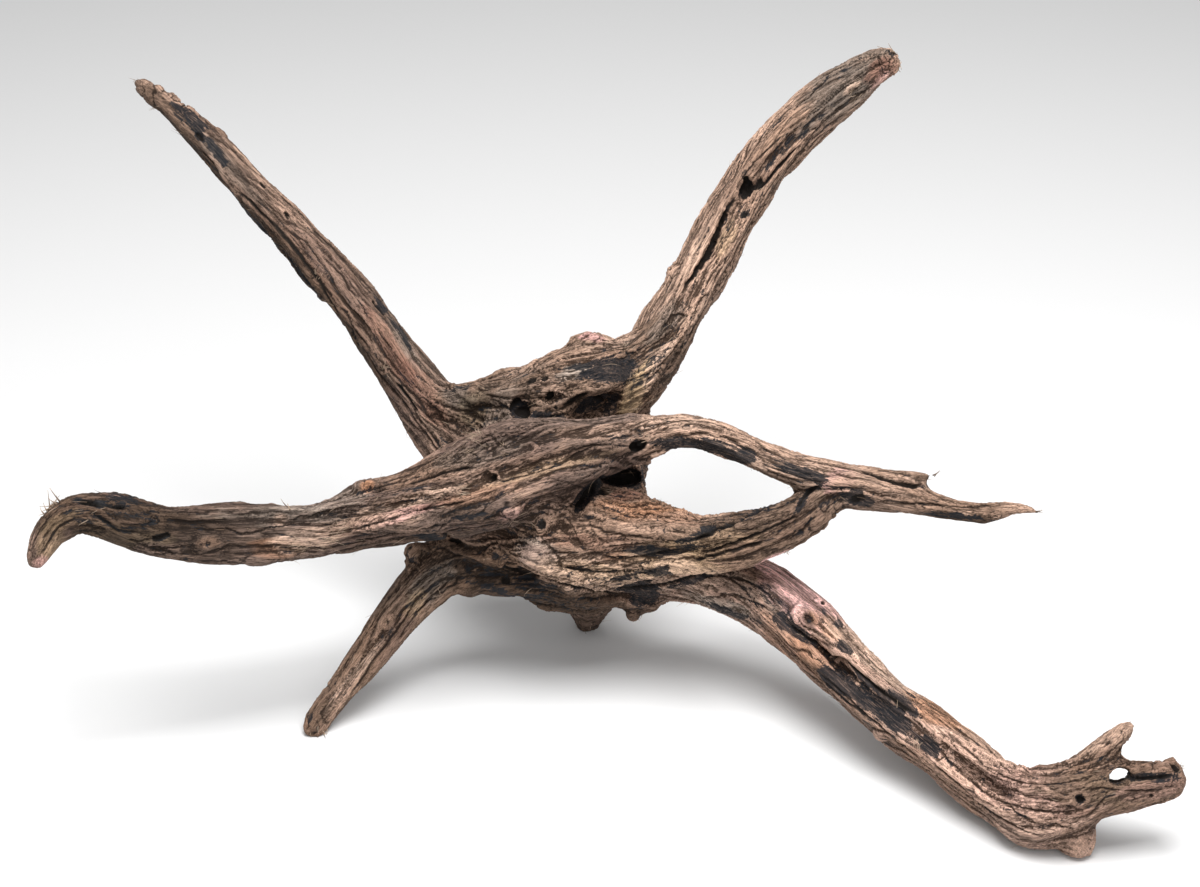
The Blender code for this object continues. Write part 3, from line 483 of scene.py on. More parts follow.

# Black stains, and black painted shadow in and under the arch: place, half length and half breadth
# in steps, turn in degrees, strength
STAINS_AND_SHADOWS = [
    (194, 120, 18, 5, -50, 1.4), (180, 108, 12, 3, -30, 1.1), (216, 152, 20, 5, -56, 1.3),
    (200, 138, 9, 5, -55, 1.0), (612, 371, 27, 15, 10, 1.5), (588, 364, 22, 6, 15, 0.9),
    (626, 364, 12, 7, 20, 1.4),
    (612, 400, 18, 6, 62, 1.0), (548, 416, 22, 6, -6, 1.1),
    (518, 410, 10, 10, 60, 1.2), (590, 402, 26, 8, 20, 0.8), (747, 190, 9, 13, 10, 0.9),
    (745, 213, 7, 5, 10, 0.8), (716, 262, 8, 2, 60, 0.5), (745, 262, 34, 3, 62, 0.5),
    (705, 293, 6, 5, 0, 0.5), (650, 385, 40, 3, 62, 0.4), (90, 502, 18, 6, -8, 1.1),
    (120, 498, 20, 7, -10, 0.7), (161, 538, 9, 4, 25, 1.1), (892, 53, 8, 5, 0, 1.1),
    (541, 524, 8, 6, 0, 1.0), (400, 492, 30, 3, 12, 0.5), (655, 551, 28, 6, -3, 1.5),
    (690, 546, 20, 4, 8, 1.0), (660, 571, 18, 6, -5, 1.4), (632, 586, 30, 8, -8, 1.5),
    (645, 597, 16, 9, 30, 1.4),
    (620, 577, 14, 5, 0, 1.0), (646, 600, 20, 8, 20, 0.9), (690, 580, 40, 5, 18, 0.7),
    (700, 535, 40, 4, 18, 0.8), (760, 512, 34, 4, 28, 0.8), (803, 500, 16, 4, 55, 1.0),
    (637, 446, 9, 7, 30, 1.2), (690, 446, 38, 8, -4, 1.5), (725, 452, 30, 7, -25, 1.3),
    (746, 456, 10, 11, -30, 1.3), (804, 473, 26, 7, -18, 1.4), (858, 500, 16, 8, -15, 1.2),
    (960, 516, 50, 4, -4, 0.8), (625, 480, 34, 18, 20, 1.4), (585, 505, 22, 8, 40, 1.1),
    (930, 484, 10, 3, 0, 0.6), (765, 588, 14, 10, -50, 0.5), (786, 622, 16, 9, -30, 1.1),
    (801, 634, 19, 6, -38, 1.4), (839, 622, 5, 8, -60, 0.9), (822, 612, 8, 5, 60, 0.6),
    (826, 594, 6, 10, 20, 0.4), (875, 688, 48, 4, -38, 1.1), (836, 680, 24, 10, -36, 1.5),
    (862, 698, 24, 9, -40, 1.5),
    (888, 713, 30, 12, -40, 1.5), (904, 703, 28, 5, -44, 1.4), (929, 746, 13, 8, -45, 1.3),
    (845, 647, 11, 6, -50, 1.3), (730, 612, 40, 4, -18, 0.8), (500, 590, 60, 4, -16, 0.6),
    (436, 540, 26, 5, -16, 1.0), (470, 515, 20, 6, 0, 0.6), (1155, 778, 24, 5, 0, 0.9),
    (1178, 770, 6, 6, 0, 0.6), (1080, 800, 6, 5, 0, 0.9), (412, 556, 6, 10, 30, 0.7),
    (312, 722, 5, 14, 20, 0.6), (500, 556, 10, 5, 0, 0.4), (382, 306, 12, 4, -52, 1.0),
    (400, 332, 22, 4, -55, 0.6), (460, 388, 18, 5, -10, 0.7), (255, 225, 60, 4, -48, 0.6),
    (310, 292, 50, 4, -52, 0.7), (404, 392, 14, 3, -58, 0.8), (610, 340, 10, 3, 0, 0.3),
    (636, 572, 80, 30, -6, 0.27), (860, 700, 80, 20, -38, 0.42), (612, 372, 50, 24, 20, 0.30),
    (765, 188, 36, 16, 50, 0.28), (115, 512, 70, 22, -8, 0.24), (595, 486, 28, 6, 42, 1.2),
    (200, 132, 50, 14, -50, 0.32),
    (705, 447, 70, 9, -8, 0.36), (800, 474, 50, 12, -20, 0.40), (550, 590, 80, 16, -12, 0.28),
    (660, 360, 50, 18, 60, 0.28), (745, 518, 60, 12, 24, 0.30), (770, 600, 40, 20, -50, 0.24),
]


def across_board(u, v):
    """A place of the view as (across, up) in millimetres from the board's middle."""
    return (u - VIEW_WIDE / 2) * VIEW_STEP, (VIEW_HIGH / 2 - v) * VIEW_STEP


def on_board(across, up, away):
    """The point that the eye sees at this place of the board, this far behind it."""
    reach = 1.0 + away * MM / EYE_REACH
    return BOARD_CENTRE + (ACROSS * across + UP * up) * (MM * reach) + AWAY * (away * MM)


def turned(degrees):
    """Unit directions along and across a mark that is turned this far up from the right."""
    angle = math.radians(degrees)
    return (
        ACROSS * math.cos(angle) + UP * math.sin(angle),
        UP * math.cos(angle) - ACROSS * math.sin(angle),
    )


def unit(ways):
    """These ways with a length of 1."""
    return ways / np.maximum(np.linalg.norm(ways, axis=1), 1e-12)[:, None]


def along_skin(ways, outward):
    """What these ways have along the skin."""
    return ways - (ways * outward).sum(1)[:, None] * outward


def curve_through(rows, share):
    """A smooth value between the rows: Catmull-Rom, with share from 0 to the last row."""
    last = len(rows) - 1
    i = min(int(share), last - 1)
    t = share - i
    before, a = rows[max(i - 1, 0)], rows[i]
    b, after = rows[i + 1], rows[min(i + 2, last)]
    return 0.5 * (
        2 * a + (b - before) * t
        + (2 * before - 5 * a + 4 * b - after) * t * t
        + (3 * a - before - 3 * b + after) * t ** 3
    )


BATCH = 20000  # points measured at once
CHANCES = 1 << 16
CHANCE = np.random.RandomState(3).uniform(-1.0, 1.0, CHANCES).astype(np.float32)
PRIMES, SEED_STEP = (73856093, 19349663, 83492791), 40503  # they scatter cells and seeds


def lumps(points, size, seed):
    """Smooth random lumps of about this size in metres, from -1 to 1, unlike for each seed."""
    spots = points / size
    cell = np.floor(spots)
    part = (spots - cell).astype(np.float32)
    part = part * part * (3 - 2 * part)
    cell = cell.astype(np.int64)
    keys, shares = [], []
    for axis, prime in enumerate(PRIMES):
        low = cell[:, axis] * prime
        keys.append([(k ^ (k >> 15)).astype(np.int32) for k in (low, low + prime)])
        shares.append((1 - part[:, axis], part[:, axis]))
    total = np.zeros(len(points), np.float32)
    shift = np.int32(seed * SEED_STEP)
    for i, j in itertools.product((0, 1), repeat=2):
        pair, share = keys[0][i] ^ keys[1][j] ^ shift, shares[0][i] * shares[1][j]
        for k in (0, 1):
            code = pair ^ keys[2][k]
            total += CHANCE[(code ^ (code >> 7)) & (CHANCES - 1)] * share * shares[2][k]
    return total.astype(float)


class Spines:
    """Points along every limb's line, each with its way, radius and place from the start."""

    def __init__(self):
        rows = []
        for number, (name, points) in enumerate(GRAIN.items()):
            stations = [np.array([*on_board(*p[:3]), p[3] * MM]) for p in points]
            shares = np.arange(SPINE_SHARES * (len(stations) - 1) + 1) / SPINE_SHARES
            fine = np.array([curve_through(stations, share) for share in shares])
            steps = np.linalg.norm(np.diff(fine[:, :3], axis=0), axis=1)
            along = np.concatenate([[0.0], np.cumsum(steps)])
            count = max(2, int(along[-1] / SPINE_STEP) + 1)
            even = np.linspace(0.0, along[-1], count)
            spots = np.column_stack([np.interp(even, along, fine[:, k]) for k in range(4)])
            index = np.interp(even, along, shares)
            way = unit(np.gradient(spots[:, :3], axis=0))
            for k in range(count):
                rows.append((*spots[k], *way[k], even[k], index[k], number))
        table = np.array(rows)
        self.spot, self.radius, self.way = table[:, :3], table[:, 3], table[:, 4:7]
        self.along, self.index, self.limb = table[:, 7], table[:, 8], table[:, 9].astype(int)

    def near(self, points):
        """For each point: the grain's way, not yet of unit length, and the nearest row."""
        ways = np.empty((len(points), 3))
        nearest = np.empty(len(points), dtype=int)
        spot, size, way = (x.astype(np.float32) for x in (self.spot, self.radius ** 2, self.way))
        square = (spot ** 2).sum(1)
        for start in range(0, len(points), BATCH):
            some = points[start:start + BATCH].astype(np.float32)
            apart = (some ** 2).sum(1)[:, None] + square - 2 * some @ spot.T
            close = size / np.maximum(apart, 1e-6)
            nearest[start:start + BATCH] = close.argmax(1)
            ways[start:start + BATCH] = close * close * close @ way
        return ways, nearest

    def straightened(self, points, row):
        """Each point as (along its limb, aside, aside), as if the limb were straight."""
        offset = points - self.spot[row]
        way = self.way[row]
        side = unit(np.cross(way, np.array(AWAY)))
        third = np.cross(way, side)
        along = self.along[row] + (offset * way).sum(1) + self.limb[row] * LIMBS_APART
        return np.column_stack([along, (offset * side).sum(1), (offset * third).sum(1)])


class Skin:
    """The wood's skin as arrays of places, four-sided faces, edges and outward ways."""

    def __init__(self, mesh):
        count = len(mesh.vertices)
        self.place = np.empty(count * 3, np.float32)
        mesh.vertices.foreach_get("co", self.place)
        self.place = self.place.reshape(-1, 3).astype(float)
        corners = np.empty(len(mesh.loops), np.int32)
        mesh.loops.foreach_get("vertex_index", corners)
        self.faces = corners.reshape(-1, 4)
        self.count = count
        pairs = [self.faces[:, [k, (k + 1) % 4]] for k in range(4)]
        pairs += [pair[:, ::-1] for pair in pairs]
        first, self.second = self.sorted_pairs(pairs)
        self.start = np.searchsorted(first, np.arange(count))
        self.neighbours = np.bincount(first, minlength=count).astype(float)
        self.ring = self.ring_of_neighbours()

    def sorted_pairs(self, pairs):
        """Each pair once, in the order of its first place."""
        pairs = np.concatenate(pairs).astype(np.int64)
        return np.divmod(np.unique(pairs[:, 0] * self.count + pairs[:, 1]), self.count)

    def ring_of_neighbours(self):
        """Neighbours of each place, over edges and corners, and then the place itself."""
        pairs = [self.faces[:, [a, b]] for a in range(4) for b in range(4) if a != b]
        first, second = self.sorted_pairs(pairs)
        rank = np.arange(len(first)) - np.searchsorted(first, np.arange(self.count))[first]
        ring = np.repeat(np.arange(self.count)[:, None], RING, axis=1)
        fits = rank < RING
        ring[first[fits], rank[fits]] = second[fits]
        return ring

    def nearest(self, aims, start):
        """The places nearest to the aims, found by stepping from neighbour to neighbour."""
        at = start.copy()
        going = np.arange(self.count)
        apart = ((self.place[at] - aims) ** 2).sum(1)
        for _ in range(MOST_STEPS):
            ring = self.ring[at[going]]
            far = ((self.place[ring] - aims[going, None]) ** 2).sum(2)
            best = far.argmin(1)
            far = far[np.arange(len(going)), best]
            closer = far < apart[going]
            ring = ring[np.arange(len(going)), best]
            going, far, ring = going[closer], far[closer], ring[closer]
            if not len(going):
                break
            at[going] = ring
            apart[going] = far
        return at

    def mean_of_neighbours(self, values):
        """Each place's neighbours' mean of these values, one or more columns."""
        total = np.add.reduceat(values[self.second], self.start, axis=0)
        return total / (self.neighbours if values.ndim == 1 else self.neighbours[:, None])

    def softened(self, values, rounds, share=0.6):
        """The values spread evenly over this many rounds of neighbours."""
        for _ in range(rounds):
            values = values + share * (self.mean_of_neighbours(values) - values)
        return values

    def outward(self):
        """Unit outward ways, from the faces round each place."""
        corner = self.place[self.faces]
        normal = np.cross(corner[:, 2] - corner[:, 0], corner[:, 3] - corner[:, 1])
        total = np.column_stack([
            np.bincount(self.faces.ravel(), np.repeat(normal[:, k], 4), self.count)
            for k in range(3)
        ])
        return unit(total)

    def evened(self, rounds):
        """Rub out facets and keep the thickness: each round shrinks a little and swells back."""
        for _ in range(rounds):
            for share in (SHRINK, SWELL):
                self.place = self.softened(self.place, 1, share)


def only(thing):
    """Make this object the one selected and active."""
    bpy.ops.object.select_all(action="DESELECT")
    thing.select_set(True)
    bpy.context.view_layer.objects.active = thing


def closed_copy(grid):
    """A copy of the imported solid, its triangles joined and laid over with a fine even grid."""
    only(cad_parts[NODE])
    bpy.ops.object.duplicate()
    copy = bpy.context.object
    copy.parent = None
    copy.name = "skin"
    bpy.ops.object.mode_set(mode="EDIT")
    bpy.ops.mesh.select_all(action="SELECT")
    bpy.ops.mesh.remove_doubles(threshold=WELD)
    bpy.ops.object.mode_set(mode="OBJECT")
    remesh = copy.modifiers.new("grid", "REMESH")
    remesh.mode = "VOXEL"
    remesh.voxel_size = grid
    bpy.ops.object.modifier_apply(modifier=remesh.name)
    return copy


def sight_tree(thing):
    """A search tree of the object's faces, for lines of sight."""
    shape = bmesh.new()
    shape.from_mesh(thing.data)
    tree = BVHTree.FromBMesh(shape)
    shape.free()
    return tree


def skin_at(tree, u, v):
    """Where the line of sight through this place of the view meets the wood, or passes nearest."""
    across, up = across_board(u, v)
    line = [on_board(across, up, away) for away in range(-160, 320, 8)]
    spot = tree.ray_cast(line[0], (line[-1] - line[0]).normalized())[0]
    if spot is None:
        spot = min((tree.find_nearest(point) for point in line), key=lambda found: found[3])[0]
    return np.array(spot)


def skin_line(tree, places, seed):
    """An unsteady line over the skin through places of the view, in steps of a millimetre."""
    rows = [np.array(p, float) for p in places]
    length = sum(np.linalg.norm(b - a) for a, b in zip(rows, rows[1:])) * VIEW_STEP
    count = max(4, int(length))
    wobble = np.random.RandomState(seed).normal(0.0, 1.0, (count + 1, 2))
    wobble = np.column_stack([np.convolve(w, np.ones(5) / 5, mode="same") for w in wobble.T])
    spots = []
    for i in range(count + 1):
        u, v = curve_through(rows, i / count * (len(rows) - 1)) + wobble[i] * WOBBLE
        spots.append(skin_at(tree, u, v))
    return np.array(spots)


def near_line(place, line, reach):
    """Rows of places within reach of a line, their distances and their shares of its length."""
    low, high = line.min(0) - reach, line.max(0) + reach
    rows = np.flatnonzero(((place > low) & (place < high)).all(1))
    best = np.full(len(rows), np.inf)
    share = np.zeros(len(rows))
    for i, (a, b) in enumerate(zip(line, line[1:])):
        span = b - a
        t = np.clip((place[rows] - a) @ span / max(span @ span, 1e-12), 0, 1)
        apart = np.linalg.norm(place[rows] - a - t[:, None] * span, axis=1)
        closer = apart < best
        best[closer] = apart[closer]
        share[closer] = (i + t[closer]) / (len(line) - 1)
    keep = best < reach
    return rows[keep], best[keep], share[keep]


def fading(share, steep, least=0.0):
    """1 in the middle of a line, falling steeply to the least at both its ends."""
    return np.clip(np.minimum(share, 1 - share) * steep, least, 1.0)


class Leap:
    """Where a step along the grain leads from each place: the place reached and the exact spot."""

    def __init__(self, skin, outward, spot, start):
        self.skin, self.outward = skin, outward
        self.at = skin.nearest(spot, start)
        self.rest = along_skin(spot - skin.place[self.at], outward[self.at])
        self.spot = skin.place[self.at] + self.rest

    def twice(self):
        """The leap made twice."""
        return Leap(self.skin, self.outward, self.spot[self.at] + self.rest, self.at[self.at])

    def path(self, times):
        """The spots after one leap, two leaps and so on."""
        spot = self.spot
        for _ in range(times):
            yield spot
            spot = spot[self.at] + self.rest


def strands(skin, leaps, size, times, seed):
    """Random strands along the grain: lumps of this size, smeared over so many leaps both ways."""
    total = lumps(skin.place, size, seed)
    for leap in leaps:
        for k, spot in enumerate(leap.path(times)):
            total += lumps(spot, size, seed) * (1 - (k + 1) / (times + 1)) ** 0.5
    total -= total.mean()
    return total / total.std()


def grain_way(skin, spines, outward, tree):
    """Unit ways of the grain over the skin, bent round the knots and a little unsteady."""
    way, row = spines.near(skin.place)
    way = unit(along_skin(way, outward))
    for u, v, radius, _ in KNOTS:
        offset = skin.place - skin_at(tree, u, v)
        size = radius * VIEW_STEP * MM
        apart = np.linalg.norm(offset, axis=1)
        rows = np.flatnonzero(apart < 5 * size)
        out = offset[rows] / np.maximum(apart[rows], 1e-6)[:, None]
        pull = np.minimum((size / np.maximum(apart[rows], 1e-6)) ** 2, 1.0)[:, None]
        along = (way[rows] * out).sum(1)[:, None]
        way[rows] -= pull * (2 * along * out - way[rows]) * 0.9
    sway = 0.30 * lumps(skin.place, 0.035, 5) + 0.22 * lumps(skin.place, 0.014, 6)
    way = way * np.cos(sway)[:, None] + np.cross(outward, way) * np.sin(sway)[:, None]
    return unit(along_skin(way, outward)), row


def ditch(values, width):
    """1 where the values cross zero, and down to 0 on both sides of that narrow line."""
    return np.exp(-(values / width) ** 2)


def shelves(values, steep=0.2):
    """A sharp rise and a slow fall, over and over: layers that have weathered away in turn."""
    share = values - np.floor(values)
    rise = np.clip(share / steep, 0, 1)
    return rise * rise * (3 - 2 * rise) - share


def linear(colour):
    """A colour as seen, turned into light."""
    return np.array([c / 12.92 if c < 0.04045 else ((c + 0.055) / 1.055) ** 2.4 for c in colour])


class Relief:
    """The skin's grain, cracks, hollows and knots as heights, and its colours, place by place."""

    def __init__(self, skin, settings, tree):
        self.skin, self.settings, self.tree = skin, settings, tree
        self.spines = Spines()
        self.base = skin.outward()
        way, self.row = grain_way(skin, self.spines, skin.softened(self.base, 6), tree)
        size = settings.strand_width
        leaps = [
            Leap(skin, self.base, skin.place + sign * size * way, np.arange(skin.count))
            for sign in (1, -1)
        ]
        layers = []
        for seed, (width, times) in enumerate(STRANDS, 1):
            if layers:
                leaps = [leap.twice() for leap in leaps]
            layers.append(strands(skin, leaps, size * width, times, seed))
        self.fine, self.middle, self.broad, self.mighty = layers
        self.height = np.zeros(skin.count)
        self.dark = np.zeros(skin.count)

    def inside(self, shape, grown=1.0, depth_share=1.0):
        """How deep each place is inside a mark: 1 at its middle, 0 at its rim, below 0 outside."""
        u, v, long, broad, degrees = shape
        long, broad = long * grown, broad * grown
        along, aside = turned(degrees)
        offset = self.skin.place - skin_at(self.tree, u, v)
        size = VIEW_STEP * MM
        inward = max(long, broad) * MARK_DEPTH * depth_share + MARK_LEAST
        far = (offset @ np.array(along) / (long * size)) ** 2
        far += (offset @ np.array(aside) / (broad * size)) ** 2
        far += (offset @ np.array(AWAY) / (inward * size)) ** 2
        return 1.0 - far

    def darken(self, much, rows=slice(None)):
        """Make these places at least as dark as this."""
        self.dark[rows] = np.maximum(self.dark[rows], much)

    def raise_grain(self):
        """Furrows and ridges along the grain, shallower on thin tips and in smooth places."""
        s = self.settings
        place = self.skin.place
        much = 0.9 + 0.45 * lumps(place, 0.05, 21) + 0.25 * lumps(place, 0.02, 22)
        for shape in SMOOTH:
            much = much * (1 - 0.75 * np.clip(self.inside(shape) * 2, 0, 1))
        thin = np.clip(self.spines.radius[self.row] / 0.011, 0.3, 1.0)
        depths = np.array([LIMB_DEPTHS[name] for name in GRAIN])[self.spines.limb[self.row]]
        self.much = np.clip(much, 0.12, 1.6) * thin * self.skin.softened(depths, 25)
        # From the longest ribs to the finest grain
        rise = s.mighty_depth * (0.6 * np.tanh(self.mighty) - ditch(self.mighty, 0.22))
        rise += s.broad_depth * (0.5 * np.tanh(self.broad) - ditch(self.broad, 0.26))
        rise += s.shelf_depth * shelves(1.1 * self.broad + 0.7 * self.mighty + 0.25 * self.middle)
        rise += s.furrow_depth * (0.3 * np.tanh(self.middle) - ditch(self.middle, 0.30))
        finest = s.fine_depth * (0.4 * np.tanh(self.fine) - ditch(self.fine, 0.30))
        rise += finest
        rise += s.lump_depth * (lumps(place, 0.007, 31) + 0.6 * lumps(place, 0.0035, 32))
        # Curls in gnarled places
        gnarled = np.clip(0.8 * lumps(place, 0.030, 33) - 0.25, 0, 0.5)
        for shape in GNARLS:
            inside = self.inside(shape, grown=1.2)
            gnarled = np.maximum(gnarled, np.clip(inside * 1.6, 0, 1))
        curls = lumps(place + 0.004 * lumps(place, 0.009, 36)[:, None], 0.0055, 34)
        # Ragged layers in flaky places
        flaky = np.zeros(self.skin.count)
        for shape in FLAKY:
            flaky = np.maximum(flaky, np.clip(self.inside(shape) * 2, 0, 1))
        self.flaky = np.clip(flaky + 0.15 * (flaky > 0) * self.broad, 0, 1)
        layers = 0.9 * self.middle + 0.9 * self.fine + 0.5 * self.broad
        rise += s.flake_depth * flaky * shelves(layers, 0.12)
        # The finest grain shows more where the rest is shallow
        rise += finest * np.clip(0.9 - self.much, 0, 1)
        self.height += rise * self.much
        self.height += s.gnarl_depth * gnarled * (0.7 * curls - ditch(curls, 0.16) + 0.3)

    def open_cracks(self):
        """Cracks with unsteady sides, deepest in their middle, darkened inside as painted shade."""
        for number, (places, half, depth) in enumerate(CRACKS):
            line = skin_line(self.tree, places, number)
            rows, apart, share = near_line(self.skin.place, line, half * MM * 3)
            unsteady = 1 + 0.35 * lumps(self.skin.place[rows], 0.006, 40 + number)
            sunk = np.exp(-(apart / (half * MM * unsteady)) ** 2) * fading(share, 6, 0.15)
            self.height[rows] -= depth * MM * sunk
            # Painted shade: the inside of the crack is darkened, the more the deeper it is
            self.darken(np.clip(sunk * 1.5, 0, 1) * min(1.0, 0.25 + depth / 4.5), rows)

    def raise_strips(self):
        """Raised strips and ledges that the weather has left standing."""
        place = self.skin.place
        for number, (places, half, tall) in enumerate(STRIPS):
            line = skin_line(self.tree, places, 200 + number)
            rows, apart, share = near_line(place, line, half * MM * 3)
            unsteady = 1 + 0.4 * lumps(place[rows], 0.007, 240 + number)
            rise = np.exp(-(apart / (half * MM * unsteady)) ** 4)
            self.height[rows] += tall * MM * fading(share, 5) * rise
        for number, (places, tall, reach) in enumerate(LEDGES):
            line = skin_line(self.tree, places, 300 + number)
            rows, _, share = near_line(place, line, reach * MM)
            ends = fading(share, 5)
            at = np.rint(share * (len(line) - 1)).astype(int)
            ways = np.gradient(line, axis=0)[at]
            left = (np.cross(self.base[rows], ways) * (place[rows] - line[at])).sum(1)
            left /= np.maximum(np.linalg.norm(ways, axis=1), 1e-9)
            left += 0.0016 * lumps(place[rows], 0.006, 340 + number)
            slope = np.clip(1 - left / (reach * MM), 0, 1)
            edge = np.clip(left / (0.6 * MM), 0, 1)
            self.height[rows] += tall * MM * ends * edge * slope
            shade = np.exp(-((left + 0.0004) / (0.9 * MM)) ** 2) * ends
            self.height[rows] -= 0.5 * MM * shade
            self.darken(0.6 * shade, rows)

    def swell_bumps(self):
        """Rounded bumps and dips with nothing dark about them."""
        for *shape, tall in BUMPS:
            inside = self.inside(shape, grown=1.3, depth_share=0.6)
            self.height += tall * MM * np.clip(inside, 0, 1) ** 0.8

    def sink_hollows(self):
        """Small hollows and worm holes, darkened inside with painted shade."""
        place = self.skin.place
        uneven = 0.45 * lumps(place, 0.0045, 71) + 0.35 * lumps(place, 0.009, 72)
        for *shape, depth in HOLLOWS:
            inside = self.inside(shape, depth_share=0.6)
            inside = np.clip(inside + uneven * (inside > -1.5), 0, 1)
            self.height -= depth * MM * np.sqrt(inside)
            # Painted shade: the inside of each hollow is darkened
            self.darken(np.clip(inside * 1.8, 0, 1))
        draw = np.random.RandomState(77)
        for at in draw.choice(self.skin.count, self.settings.worm_holes, replace=False):
            size = draw.uniform(*WORM_HOLE) * MM
            apart = np.linalg.norm(place - place[at], axis=1)
            inside = np.exp(-(apart / size) ** 4)
            self.height -= inside * size * 1.3
            # Painted shade inside each worm hole
            self.darken(inside)

    def swell_knots(self):
        """Knots with a rim and rings."""
        for u, v, radius, tall in KNOTS:
            apart = np.linalg.norm(self.skin.place - skin_at(self.tree, u, v), axis=1)
            ring = apart / (radius * VIEW_STEP * MM)
            rim = np.exp(-((ring - 0.85) / 0.35) ** 2)
            self.height += tall * MM * (rim - 0.5 * np.exp(-(ring / 0.5) ** 2))
            rings = ditch(np.sin(ring * 9.0), 0.35) * (ring < 1.3)
            self.height -= 0.35 * MM * rings
            self.darken(0.45 * rings)

    def tones(self):
        """The wood's colour at each place, before its furrows are darkened."""
        place = self.skin.place
        ragged = 0.32 * lumps(place, 0.012, 51) + 0.18 * lumps(place, 0.005, 54)
        ragged += 0.14 * self.middle + 0.10 * self.fine
        limbs = np.array([linear(TONES[LIMB_TONES[name]]) for name in GRAIN])
        colour = self.skin.softened(limbs[self.spines.limb[self.row]], 25)
        blend = np.clip(0.5 + 0.9 * lumps(place, 0.045, 52) + 0.25 * self.broad, 0, 1)[:, None]
        colour = colour * (1 - 0.35 * blend) + linear(TONES["grey"]) * 0.35 * blend
        warm = np.clip(lumps(place, 0.03, 53) + 0.3 * self.middle - 0.25, 0, 1)[:, None]
        colour = colour * (1 - 0.6 * warm) + linear(TONES["tan"]) * 0.6 * warm
        # Tops paler and undersides darker: partly sun bleaching, partly painted light and painted
        # shade
        bleach_and_painted_light = np.clip(self.base[:, 2] * 1.3, -1, 1)[:, None]
        colour = colour * (1 + 0.16 * bleach_and_painted_light + 0.14 * np.minimum(bleach_and_painted_light, 0))
        for *shape, tone, strength in TINTS:
            inside = self.inside(shape, grown=1.25)
            much = np.clip((inside + ragged) * 1.6, 0, 1)[:, None] * strength
            colour = colour * (1 - much) + linear(TONES[tone]) * much
        return colour

    def stains_and_shade(self):
        """How black each place is, over 0.5 shows black: stains, painted shadow under the arch, and
        patches on the far side of each limb.
        """
        place = self.skin.place
        black = np.full(self.skin.count, -1.0)
        for *shape, strength in STAINS_AND_SHADOWS:
            inside = self.inside(shape, grown=1.2, depth_share=0.7)
            black = np.maximum(black, np.clip(inside + 0.1, -1, 1) * strength)
        # Black patches also on the far side of each limb, away from the eye
        behind = place @ np.array(AWAY) - self.spines.spot[self.row] @ np.array(AWAY)
        hidden = np.clip(behind / 0.01, 0, 1)
        patch = lumps(place, 0.05, 61) + 0.5 * lumps(place, 0.02, 62) + 0.2 * self.broad
        return np.maximum(black, hidden * (patch - 0.35))

    def hollow_shade(self):
        """Below zero in creases and above zero on crests, by the shape round each place."""
        curve = self.skin.place - self.skin.softened(self.skin.place, 5)
        fine = (curve * self.base).sum(1) / (0.28 * MM)
        curve = self.skin.place - self.skin.softened(self.skin.place, 40)
        return np.clip(0.6 * fine + (curve * self.base).sum(1) / (1.1 * MM), -1.5, 1.5)

    def work(self):
        """Raise and sink everything, and move the skin."""
        self.tone = self.tones()
        self.black = self.stains_and_shade()
        self.raise_grain()
        self.swell_knots()
        self.swell_bumps()
        self.raise_strips()
        self.open_cracks()
        self.sink_hollows()
        self.grain = self.spines.straightened(self.skin.place, self.row)
        self.strand = 0.75 * self.middle + 0.65 * self.fine
        way = unit(self.skin.softened(self.base, 2))
        self.even = self.skin.place
        self.skin.place = self.skin.place + way * self.height[:, None]
        self.skin.place[:, 2] = np.maximum(self.skin.place[:, 2], 0.0)
        self.shade = self.hollow_shade()


def part_of_faces(skin, relief):
    """For each face, the number of the piece that it belongs to: the first ones are the middle."""
    first = skin.faces[:, 0]
    row = relief.row[first]
    limbs = list(GRAIN)
    number = np.full(len(first), -1)
    for k, (_, names, cuts) in enumerate(PARTS):
        for name in names:
            mine = relief.spines.limb[row] == limbs.index(name)
            if name in cuts:
                at, side = cuts[name]
                mine &= (relief.spines.index[row] - at) * side > 0
            number[mine] = k + len(MIDDLES)
    rest = number < 0
    across = relief.even[first, 0]
    shares = np.arange(1, len(MIDDLES)) / len(MIDDLES)
    number[rest] = np.searchsorted(np.quantile(across[rest], shares), across[rest])
    return number


def named_values(mesh, name, kind, key, values):
    """Store values for each place of the mesh under a name."""
    made = mesh.attributes.new(name, kind, "POINT")
    made.data.foreach_set(key, np.ascontiguousarray(values, np.float32).ravel())


def closed_off(mesh):
    """Close the mesh's open rims with flat lids, which lie inside the wood."""
    shape = bmesh.new()
    shape.from_mesh(mesh)
    rims = [edge for edge in shape.edges if edge.is_boundary]
    bmesh.ops.holes_fill(shape, edges=rims, sides=0)
    lids = [face for face in shape.faces if len(face.verts) > 4]
    bmesh.ops.triangulate(shape, faces=lids)
    shape.to_mesh(mesh)
    shape.free()


def unrolled(piece):
    """Lay the piece's faces out flat, for the baking of its finish."""
    piece.data.uv_layers.new(name="OFBake")
    only(piece)
    bpy.ops.object.mode_set(mode="EDIT")
    bpy.ops.mesh.select_all(action="SELECT")
    bpy.ops.uv.smart_project(angle_limit=math.radians(70), island_margin=0.003)
    bpy.ops.object.mode_set(mode="OBJECT")


